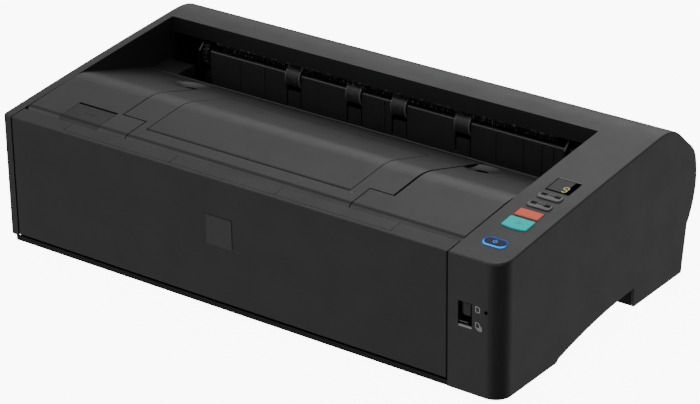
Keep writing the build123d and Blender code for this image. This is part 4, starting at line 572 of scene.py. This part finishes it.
def turning_finish(node, core, rubber=True):
    """A steel shaft inside ribbed rubber rollers or black gears, told apart by the distance from its axis."""
    material, tree, shader = base_material(f"{node}_finish")
    low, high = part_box(node)
    middle = (low + high) / 2
    outside = step_at(tree, from_axis(tree, middle.y, middle.z), core)
    tone = spread(tree, noise(tree, 500.0, 4.0), 0.3, 0.7)
    if rubber:
        # The rubber tones are lighter than the rubber's own, as painted light for rollers in the shaded paper
        # path
        outer = mix_colours(tree, tone, (0.030, 0.030, 0.032), (0.052, 0.052, 0.054))
    else:
        outer = mix_colours(tree, tone, (0.010, 0.010, 0.010), (0.016, 0.016, 0.016))
    steel = (0.50, 0.50, 0.50)
    tree.links.new(mix_colours(tree, outside, steel, outer), shader.inputs["Base Color"])
    tree.links.new(maths(tree, "SUBTRACT", 1.0, outside), shader.inputs["Metallic"])
    core_rough = maths(tree, "ADD", maths(tree, "MULTIPLY", tone, 0.12), 0.22)
    rougher = maths(tree, "MULTIPLY", outside, 0.2)
    tree.links.new(maths(tree, "ADD", core_rough, rougher), shader.inputs["Roughness"])
    ribs = tree.nodes.new("ShaderNodeTexWave")
    ribs.bands_direction = "X"
    ribs.inputs["Scale"].default_value = 320.0
    ribs.inputs["Distortion"].default_value = 0.6
    place = tree.nodes.new("ShaderNodeTexCoord")
    tree.links.new(place.outputs["Object"], ribs.inputs["Vector"])
    bump(tree, shader, maths(tree, "MULTIPLY", ribs.outputs["Fac"], outside), 0.0001)
    return material


CHARCOAL = (0.0150, 0.0152, 0.0162)
CASE_PLASTIC = moulded("case_plastic", CHARCOAL, 0.42, wear=0.18)
FRONT_PLASTIC = moulded("front_plastic", shade(CHARCOAL, 0.80), 0.44, wear=0.18)
COVER_PLASTIC = moulded("cover_plastic", shade(CHARCOAL, 0.95), 0.40, wear=0.15)
DARK_PLASTIC = moulded("dark_plastic", (0.0045, 0.0045, 0.0048), 0.55, grain=900.0, specular=0.3)
# The guides' own grey plastic, made lighter as painted light so the shaded recess and paper path look lit
GUIDE_GREY_WITH_PAINTED_LIGHT = moulded("guide_grey_with_painted_light", (0.036, 0.036, 0.038), 0.34, grain=700.0, wear=0.2)
GEAR_BLACK = moulded("gear_black", (0.012, 0.012, 0.012), 0.38, grain=500.0)
FOOT_RUBBER = moulded("foot_rubber", (0.010, 0.010, 0.010), 0.75, grain=600.0, depth=0.00008)
# Light grey for the cover's peg mark, and for painted highlights on the roller rims and the selector slot's
# rail
MARK_AND_HIGHLIGHT_GREY = moulded("mark_and_painted_highlight_grey", (0.16, 0.16, 0.165), 0.32, grain=700.0)
KEY_SILVER = moulded("key_silver", (0.085, 0.086, 0.09), 0.30, grain=1200.0, depth=0.00002, wear=1.0)
KEY_INLAY = moulded("key_inlay", (0.002, 0.002, 0.002), 0.40, grain=700.0, depth=0.00001, specular=0.05)
KEY_CORAL = moulded(
    "key_coral", (1.0, 0.19, 0.13), 0.5, grain=1100.0, depth=0.00002, tones=(0.95, 1.0), specular=0.1
)
KEY_TEAL = moulded(
    "key_teal", (0.0, 0.78, 0.72), 0.5, grain=1100.0, depth=0.00002, tones=(0.94, 1.06), specular=0.1
)
TEAL_MARK = moulded("teal_mark", (0.006, 0.22, 0.21), 0.45, grain=900.0)
POWER_TOP = moulded("power_top", (0.006, 0.006, 0.014), 0.22, grain=900.0, depth=0.00001, specular=0.15)
# Light grey for printed signs, and for the painted highlight on the selector slot's sill
PRINT_AND_HIGHLIGHT_GREY = moulded("print_and_painted_highlight_grey", (0.36, 0.36, 0.37), 0.5, grain=900.0, depth=0.00001)
BADGE_GLOSS = moulded("badge_gloss", (0.006, 0.006, 0.007), 0.20, grain=500.0, depth=0.00001)
SENSOR_BODY = moulded("sensor_body", (0.012, 0.012, 0.013), 0.25, grain=500.0)
BELT_RUBBER = moulded("belt_rubber", (0.012, 0.012, 0.012), 0.6, grain=800.0, depth=0.00010)
CONNECTOR = moulded("connector_black", (0.006, 0.006, 0.006), 0.28, grain=500.0)
LENS = moulded("indicator_smoke", (0.001, 0.001, 0.001), 0.12, grain=300.0, depth=0.00001, specular=0.0)
KNOB_PLASTIC = moulded("knob_plastic", (0.008, 0.008, 0.009), 0.46, grain=900.0)
LEVER_PLASTIC = moulded("lever_plastic", (0.014, 0.014, 0.015), 0.42, wear=0.3, specular=0.36)
STEEL = metal("plated_steel", (0.50, 0.50, 0.49), 0.32)
DARK_STEEL = metal("blackened_steel", (0.045, 0.045, 0.046), 0.42)
SHAFT_STEEL = metal("shaft_steel", (0.62, 0.62, 0.62), 0.16)
MOTOR_STEEL = metal("motor_steel", (0.42, 0.42, 0.42), 0.28)
BRUSH = brush_fibre()
BOARD = circuit_board()
DISPLAY = display_glass()
# The ring's glow is a real lamp; its fading towards the rear is painted shade
RING_GLOW = lit("ring_glow", (0.01, 0.05, 0.20), (0.006, 0.30, 1.0), painted_rear_shade=(0.002, 0.03, 0.24), strength=1.25)
SIGN_GLOW = lit("sign_glow", (0.01, 0.06, 0.25), (0.03, 0.20, 1.0), strength=1.4)
DIGIT_GLOW = lit("digit_glow", (0.20, 0.22, 0.02), (0.40, 0.46, 0.02), strength=0.9)

FINISHES = {
    "outer_case": CASE_PLASTIC,
    "base_tray": DARK_PLASTIC,
    "rubber_feet": FOOT_RUBBER,
    "case_screws": STEEL,
    "side_frame_left": DARK_STEEL,
    "side_frame_right": DARK_STEEL,
    "unit_hinge_pins": SHAFT_STEEL,
    "lower_paper_guide": GUIDE_GREY_WITH_PAINTED_LIGHT,
    "lower_image_sensor": SENSOR_BODY,
    "inner_turn_guide": GUIDE_GREY_WITH_PAINTED_LIGHT,
    "outer_turn_guide": GUIDE_GREY_WITH_PAINTED_LIGHT,
    "eject_guide_plate": GUIDE_GREY_WITH_PAINTED_LIGHT,
    "static_brush": BRUSH,
    "drive_motor": MOTOR_STEEL,
    "motor_pinion": GEAR_BLACK,
    "idler_gear": GEAR_BLACK,
    "eject_shaft": turning_finish("eject_shaft", SHAFT_CORE, rubber=False),
    "eject_rollers": turning_finish("eject_rollers", SHAFT_CORE),
    "eject_pinch_rollers": GUIDE_GREY_WITH_PAINTED_LIGHT,
    "turn_roller_shaft": turning_finish("turn_roller_shaft", SHAFT_CORE),
    "turn_pinch_rollers": GUIDE_GREY_WITH_PAINTED_LIGHT,
    "lower_drive_belt": BELT_RUBBER,
    "retard_bracket": STEEL,
    "retard_arm": STEEL,
    "retard_roller": turning_finish("retard_roller", RETARD_CORE),
    "rear_exit_cover": CASE_PLASTIC,
    "power_inlet": CONNECTOR,
    "data_port": CONNECTOR,
    "main_board": BOARD,
    "panel_board": BOARD,
    "display_window": DISPLAY,
    "power_ring": RING_GLOW,
    "power_button": POWER_TOP,
    "selector_knob": KNOB_PLASTIC,
    "indicator_lens": LENS,
    "feed_tray_cover": FRONT_PLASTIC,
    "feed_tray_plate": GUIDE_GREY_WITH_PAINTED_LIGHT,
    "feed_extension": FRONT_PLASTIC,
    "feed_extension_inner": FRONT_PLASTIC,
    "document_guide_left": GUIDE_GREY_WITH_PAINTED_LIGHT,
    "document_guide_right": GUIDE_GREY_WITH_PAINTED_LIGHT,
    "guide_pinion": GEAR_BLACK,
    "badge_plate": BADGE_GLOSS,
    "upper_cover": COVER_PLASTIC,
    "upper_frame": DARK_STEEL,
    "upper_image_sensor": SENSOR_BODY,
    "feed_roller": turning_finish("feed_roller", SHAFT_CORE),
    "pickup_holder": GUIDE_GREY_WITH_PAINTED_LIGHT,
    "pickup_roller": turning_finish("pickup_roller", PICKUP_CORE),
    "open_lever": LEVER_PLASTIC,
    "eject_tray": COVER_PLASTIC,
    "eject_stopper": COVER_PLASTIC,
    "registration_roller_shaft": turning_finish("registration_roller_shaft", SHAFT_CORE),
    "registration_idlers": GUIDE_GREY_WITH_PAINTED_LIGHT,
    "reading_roller_shaft": turning_finish("reading_roller_shaft", SHAFT_CORE),
    "reading_idlers": GUIDE_GREY_WITH_PAINTED_LIGHT,
    "bypass_button": KEY_SILVER,
    "count_button": KEY_SILVER,
    "stop_button": KEY_CORAL,
    "start_button": KEY_TEAL,
}


def dress_frame():
    """Gives every part of the scanner its finish."""
    for name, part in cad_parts.items():
        part.data.materials.clear()
        part.data.materials.append(FINISHES[name])


def add(piece, body, material):
    """Sets a new piece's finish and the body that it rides."""
    piece.data.materials.append(material)
    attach(piece, body)
    return piece


def centre_of(node):
    """Middle of a part's box."""
    low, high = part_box(node)
    return (low + high) / 2


def display_digit():
    """The lit figure: six bars of a seven-bar digit on the pane, each shortened by a share at both ends."""
    half_width = 1.7 * MM
    half_height = 3.1 * MM
    end_share = 0.12
    bar_width = 0.75 * MM
    bar_foot = 0.25 * MM
    bar_top = 0.36 * MM
    middle_x = DISPLAY_HIGH.x - 5.6 * MM
    middle_y = (DISPLAY_LOW.y + DISPLAY_HIGH.y) / 2 - 3.4 * MM
    rear_left, rear_right = (-half_width, half_height), (half_width, half_height)
    left, right = (-half_width, 0.0), (half_width, 0.0)
    front_left, front_right = (-half_width, -half_height), (half_width, -half_height)
    bars = []
    for ends in (
        (rear_left, rear_right),
        (rear_left, left),
        (rear_right, right),
        (left, right),
        (right, front_right),
        (front_left, front_right),
    ):
        first, last = np.array(ends)
        bars.append([first + (last - first) * end_share, last - (last - first) * end_share])
    piece = strokes("display_digit", bars, bar_width, bar_top, on_panel(middle_x, middle_y), bar_foot)
    add(piece, "base", DIGIT_GLOW)


def display_trim():
    """The light bevel along the rear edge of the display: one straight bar, half sunk in the edge."""
    end_gap = 1.0 * MM
    bevel_width = 0.5 * MM
    bevel_top = 0.35 * MM
    bevel_foot = -0.3 * MM
    half = (DISPLAY_HIGH.x - DISPLAY_LOW.x) / 2 - end_gap
    place = on_panel((DISPLAY_LOW.x + DISPLAY_HIGH.x) / 2, DISPLAY_HIGH.y)
    line = np.stack([np.linspace(-half, half, 12), np.zeros(12)], -1)
    piece = strokes("display_trim", [line], bevel_width, bevel_top, place, bevel_foot)
    add(piece, "base", KEY_SILVER)


def key_inlays():
    """Two black inlays on each silver key, near its ends, with a row of small plain marks between them."""
    inlay_width = 4.5 * MM
    inlay_length = 3.1 * MM
    inlay_corner = 0.35 * MM
    inlay_from_end = 3.9 * MM
    inlay_rearward = 0.85 * MM
    inlay_foot = 0.7 * MM
    inlay_top = 0.98 * MM
    mark_pitch = 1.15 * MM
    mark_reaches = (0.9 * MM, 0.5 * MM, 0.9 * MM, 0.65 * MM, 0.9 * MM)
    mark_width = 0.42 * MM
    mark_rearward = 0.7 * MM
    mark_top = 1.0 * MM
    row_half = 2.6 * MM
    marks = []
    for number, reach in enumerate(mark_reaches):
        x = (number - 2) * mark_pitch
        marks.append([(x, -reach), (x, reach)])
    marks.append([(-row_half, mark_reaches[0]), (row_half, mark_reaches[0])])
    for body, node in (("bypass_key", "bypass_button"), ("count_key", "count_button")):
        low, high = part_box(node)
        middle = (low + high) / 2
        offset = (high.x - low.x) / 2 - inlay_from_end
        for side, label in ((-1, "left"), (1, "right")):
            place = on_panel(middle.x + side * offset, middle.y + inlay_rearward)
            outline = rounded_outline(inlay_width, inlay_length, inlay_corner)
            inlay = plate(f"{node}_{label}_inlay", outline, inlay_top, SIGN_SINK, place, inlay_foot)
            add(inlay, body, KEY_INLAY)
        place = on_panel(middle.x, middle.y + mark_rearward)
        sign = strokes(f"{node}_marks", marks, mark_width, mark_top, place, KEY_TOP - SIGN_SINK)
        add(sign, body, KEY_INLAY)


def start_sign():
    """A faint diamond and a short line on the start key: four straight strokes round its middle, and one to
    its right."""
    reach = 1.7 * MM
    tail_start = reach + 0.9 * MM
    tail_end = reach + 2.8 * MM
    line_width = 0.3 * MM
    line_top = 0.93 * MM
    middle = centre_of("start_button")
    diamond = [(reach, 0), (0, reach), (-reach, 0), (0, -reach), (reach, 0)]
    tail = [(tail_start, 0), (tail_end, 0)]
    place = on_panel(middle.x, middle.y)
    piece = strokes("start_sign", [diamond, tail], line_width, line_top, place, KEY_TOP - SIGN_SINK)
    add(piece, "start_key", TEAL_MARK)


def power_sign():
    """The usual on-off sign: a circle open at the rear, with an upright stroke in the opening."""
    circle_radius = 1.45 * MM
    opening = (125, 415)
    stroke_start = 0.2 * MM
    stroke_end = 1.9 * MM
    line_width = 0.36 * MM
    line_foot = 0.8 * MM
    line_top = 0.96 * MM
    middle = centre_of("power_button")
    lines = [arc_path(circle_radius, *opening), [(0, stroke_start), (0, stroke_end)]]
    piece = strokes("power_sign", lines, line_width, line_top, on_panel(middle.x, middle.y), line_foot)
    add(piece, "power_key", SIGN_GLOW)


def power_halo():
    """The lit band round the power key: a half ellipse carried round the key's own oval."""
    band = 1.2 * MM
    band_top = 0.95 * MM
    band_foot = -0.8 * MM
    low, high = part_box("power_ring")
    middle = (low + high) / 2
    outline = oval_outline(high.x - low.x - band, high.y - low.y - band)
    piece = ring("power_halo", outline, band, band_top, on_panel(middle.x, middle.y), band_foot)
    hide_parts("power_ring")
    add(piece, "base", RING_GLOW)


def page_signs():
    """Page signs beside the feed selector: one sheet with a folded corner at the top, and below it a pile,
    which is the same sheet with the edges of two more that each step down to the right."""
    half_width = 1.5 * MM
    half_height = 1.9 * MM
    fold = 0.9 * MM
    step = 0.75 * MM
    sheet_line = 0.55 * MM
    pile_line = 0.5 * MM
    sheet = [
        (-half_width, -half_height),
        (-half_width, half_height),
        (half_width - fold, half_height),
        (half_width, half_height - fold),
        (half_width, -half_height),
        (-half_width, -half_height),
    ]
    pile = [sheet]
    for shift in (step, 2 * step):
        right = half_width + shift
        foot = -half_height - shift
        pile.append([(-half_width + shift, foot), (right, foot), (right, half_height - fold - shift)])
    for name, lines, line_width, z in (
        ("single_sheet_sign", [sheet], sheet_line, SHEET_SIGN_Z),
        ("sheet_pile_sign", pile, pile_line, PILE_SIGN_Z),
    ):
        piece = strokes(name, lines, line_width, SIGN_SINK, on_front(SIGN_X, z), -SIGN_SINK)
        add(piece, "base", PRINT_AND_HIGHLIGHT_GREY)


def selector_highlight_bars():
    """Painted highlights in the selector's slot: a light bar on the sill at its foot, and a thinner one on
    the bevel deeper in the slot above it.
    """
    sill_height = 1.1 * MM
    sill_sunk = (0.05 * MM, 1.6 * MM)
    rail_height = 0.45 * MM
    rail_sunk = (1.2 * MM, 1.9 * MM)
    rail_right = SLOT_RIGHT - 3.5 * MM
    place = on_front(0, 0)
    line = [(SLOT_LEFT, SLOT_SILL_Z), (SLOT_RIGHT, SLOT_SILL_Z)]
    sill = strokes("selector_sill_highlight", [line], sill_height, -sill_sunk[0], place, -sill_sunk[1])
    add(sill, "base", PRINT_AND_HIGHLIGHT_GREY)
    line = [(SLOT_LEFT, SLOT_RAIL_Z), (rail_right, SLOT_RAIL_Z)]
    rail = strokes("selector_rail_highlight", [line], rail_height, -rail_sunk[0], place, -rail_sunk[1])
    add(rail, "base", MARK_AND_HIGHLIGHT_GREY)


def lever_mark():
    """A raised arrow on the open lever."""
    half_length = 5.0 * MM
    barb_start = 2.6 * MM
    barb_width = 2.0 * MM
    rearward = 3.0 * MM
    line_width = 0.6 * MM
    line_top = 0.14 * MM
    line_foot = -0.1 * MM
    middle = centre_of("open_lever")
    stem = [(-half_length, 0), (half_length, 0)]
    head = [(barb_start, barb_width), (half_length, 0), (barb_start, -barb_width)]
    place = on_cover(middle.x, middle.y + rearward)
    piece = strokes("lever_mark", [stem, head], line_width, line_top, place, line_foot)
    add(piece, "release_lever", COVER_PLASTIC)


def roller_rim_highlights():
    """Painted highlights on the rims at both ends of each eject roller: light rings, each an ellipse carried
    round the roller's circle.
    """
    turn = np.linspace(0, 2 * math.pi, 48, endpoint=False)[:, None]
    section = np.linspace(0, 2 * math.pi, 10, endpoint=False)[None, :]
    radius = ROLLER_RADIUS - RIM_INSET + RIM_HEIGHT / 2 * np.cos(section)
    y = ROLLER_AXIS[0] + radius * np.cos(turn)
    z = ROLLER_AXIS[1] + radius * np.sin(turn)
    across = RIM_WIDTH / 2 * np.sin(section) + 0 * turn
    points = []
    faces = []
    for offset in ROLLER_OFFSETS:
        for side in (-1, 1):
            x = BAY_CENTRE + offset + side * (ROLLER_WIDTH / 2 + RIM_OFFSET)
            faces += grid_faces(turn.size, section.size, start=len(points) * y.size, closed_rows=True)
            points.append(np.stack([x + across, y, z], -1).reshape(-1, 3))
    piece = mesh_piece("eject_roller_rim_highlights", np.concatenate(points), faces)
    add(piece, "eject_drive", MARK_AND_HIGHLIGHT_GREY)


def cover_dot():
    """The small round peg mark on the cover, at the front right of the eject tray."""
    width = 1.1 * MM
    top = 0.12 * MM
    foot = -0.1 * MM
    place = on_cover(72.5 * MM, -92.5 * MM)
    piece = plate("cover_dot", oval_outline(width, width, 12), top, SIGN_SINK, place, foot)
    add(piece, "upper_unit", MARK_AND_HIGHLIGHT_GREY)


def floor():
    """A wide pale floor that the light falls on evenly, lifted towards white where it is seen directly."""
    points = FLOOR_REACH * np.array([[-1, -1, 0], [1, -1, 0], [1, 1, 0], [-1, 1, 0]])
    piece = mesh_piece("floor", points, [[0, 1, 2, 3]], smooth=False)
    material, tree, shader = base_material("floor_white")
    tone = noise(tree, 3.0, 2.0)
    surface = mix_colours(tree, tone, (0.90, 0.90, 0.90), (0.93, 0.93, 0.93))
    tree.links.new(surface, shader.inputs["Base Color"])
    shader.inputs["Roughness"].default_value = 0.9
    shader.inputs["Emission Color"].default_value = (1.0, 1.0, 1.0, 1.0)
    path = tree.nodes.new("ShaderNodeLightPath")
    seen = maths(tree, "MULTIPLY", path.outputs["Is Camera Ray"], FLOOR_GLOW)
    tree.links.new(seen, shader.inputs["Emission Strength"])
    piece.data.materials.append(material)
    piece.visible_glossy = False


def lobe(tree, direction, power, strength):
    """A soft patch of light in the surroundings: the cosine to its direction, raised to a power."""
    place = tree.nodes.new("ShaderNodeTexCoord")
    dot = tree.nodes.new("ShaderNodeVectorMath")
    dot.operation = "DOT_PRODUCT"
    dot.inputs[1].default_value = Vector(direction).normalized()
    tree.links.new(place.outputs["Generated"], dot.inputs[0])
    near = maths(tree, "MAXIMUM", dot.outputs["Value"], 0.0)
    return maths(tree, "MULTIPLY", maths(tree, "POWER", near, power), strength)


def surroundings():
    """White behind the object, an even grey for soft light, and a few large soft patches in reflections."""
    world = bpy.data.worlds.new("studio")
    bpy.context.scene.world = world
    world.use_nodes = True
    tree = world.node_tree
    background = tree.nodes["Background"]
    path = tree.nodes.new("ShaderNodeLightPath")
    patches = MIRRORED_GREY
    for _, direction, power, strength in PATCHES:
        patches = maths(tree, "ADD", lobe(tree, direction, power, strength), patches)
    glossy = path.outputs["Is Glossy Ray"]
    mirrored = maths(tree, "MULTIPLY", patches, glossy)
    even = maths(tree, "MULTIPLY", maths(tree, "SUBTRACT", 1.0, glossy), EVEN_LIGHT)
    light = maths(tree, "ADD", mirrored, even)
    seen = path.outputs["Is Camera Ray"]
    unseen = maths(tree, "SUBTRACT", 1.0, seen)
    total = maths(tree, "ADD", maths(tree, "MULTIPLY", light, unseen), seen)
    tree.links.new(total, background.inputs["Strength"])
    background.inputs["Color"].default_value = (1.0, 1.0, 1.0, 1.0)


def softbox(name, place, size, power):
    """A square area light that faces the scanner."""
    data = bpy.data.lights.new(name, "AREA")
    data.size = size
    data.energy = power
    lamp = bpy.data.objects.new(name, data)
    bpy.context.scene.collection.objects.link(lamp)
    lamp.location = Vector(place)
    lamp.rotation_mode = "QUATERNION"
    lamp.rotation_quaternion = (Vector(LAMP_AIM) - Vector(place)).to_track_quat("-Z", "Y")
    lamp.visible_glossy = False


def camera():
    """The photograph's camera: its axes come from azimuth, elevation and roll, and its shift from the optical
    centre's distance to the middle of the picture."""
    azimuth = math.radians(CAMERA_AZIMUTH)
    elevation = math.radians(CAMERA_ELEVATION)
    roll = math.radians(CAMERA_ROLL)
    level_reach = math.cos(elevation)
    back = Vector((math.sin(azimuth) * level_reach, -math.cos(azimuth) * level_reach, math.sin(elevation)))
    level_right = Vector((math.cos(azimuth), math.sin(azimuth), 0.0))
    level_up = back.cross(level_right)
    right = level_right * math.cos(roll) + level_up * math.sin(roll)
    up = level_up * math.cos(roll) - level_right * math.sin(roll)
    place = CAMERA_TARGET + back * CAMERA_DISTANCE
    data = bpy.data.cameras.new("photo_camera")
    data.sensor_width = SENSOR_WIDTH
    data.lens = FOCAL_PIXELS * SENSOR_WIDTH / PHOTO_WIDTH
    data.shift_x = (PHOTO_WIDTH / 2 - OPTICAL_CENTRE[0]) / PHOTO_WIDTH
    data.shift_y = (OPTICAL_CENTRE[1] - PHOTO_HEIGHT / 2) / PHOTO_WIDTH
    data.clip_start = 0.05
    data.clip_end = 50.0
    eye = bpy.data.objects.new("photo_camera", data)
    bpy.context.scene.collection.objects.link(eye)
    eye.matrix_world = Matrix(
        (
            (right.x, up.x, back.x, place.x),
            (right.y, up.y, back.y, place.y),
            (right.z, up.z, back.z, place.z),
            (0.0, 0.0, 0.0, 1.0),
        )
    )
    bpy.context.scene.camera = eye


dress_frame()
display_digit()
display_trim()
key_inlays()
start_sign()
power_sign()
power_halo()
page_signs()
selector_highlight_bars()
lever_mark()
roller_rim_highlights()
cover_dot()
floor()
surroundings()
softbox("overhead_light", place=(-0.25, 0.25, 1.5), size=1.5, power=9.0)
softbox("front_fill", place=(0.5, -1.7, 1.1), size=1.2, power=4.0)
camera()
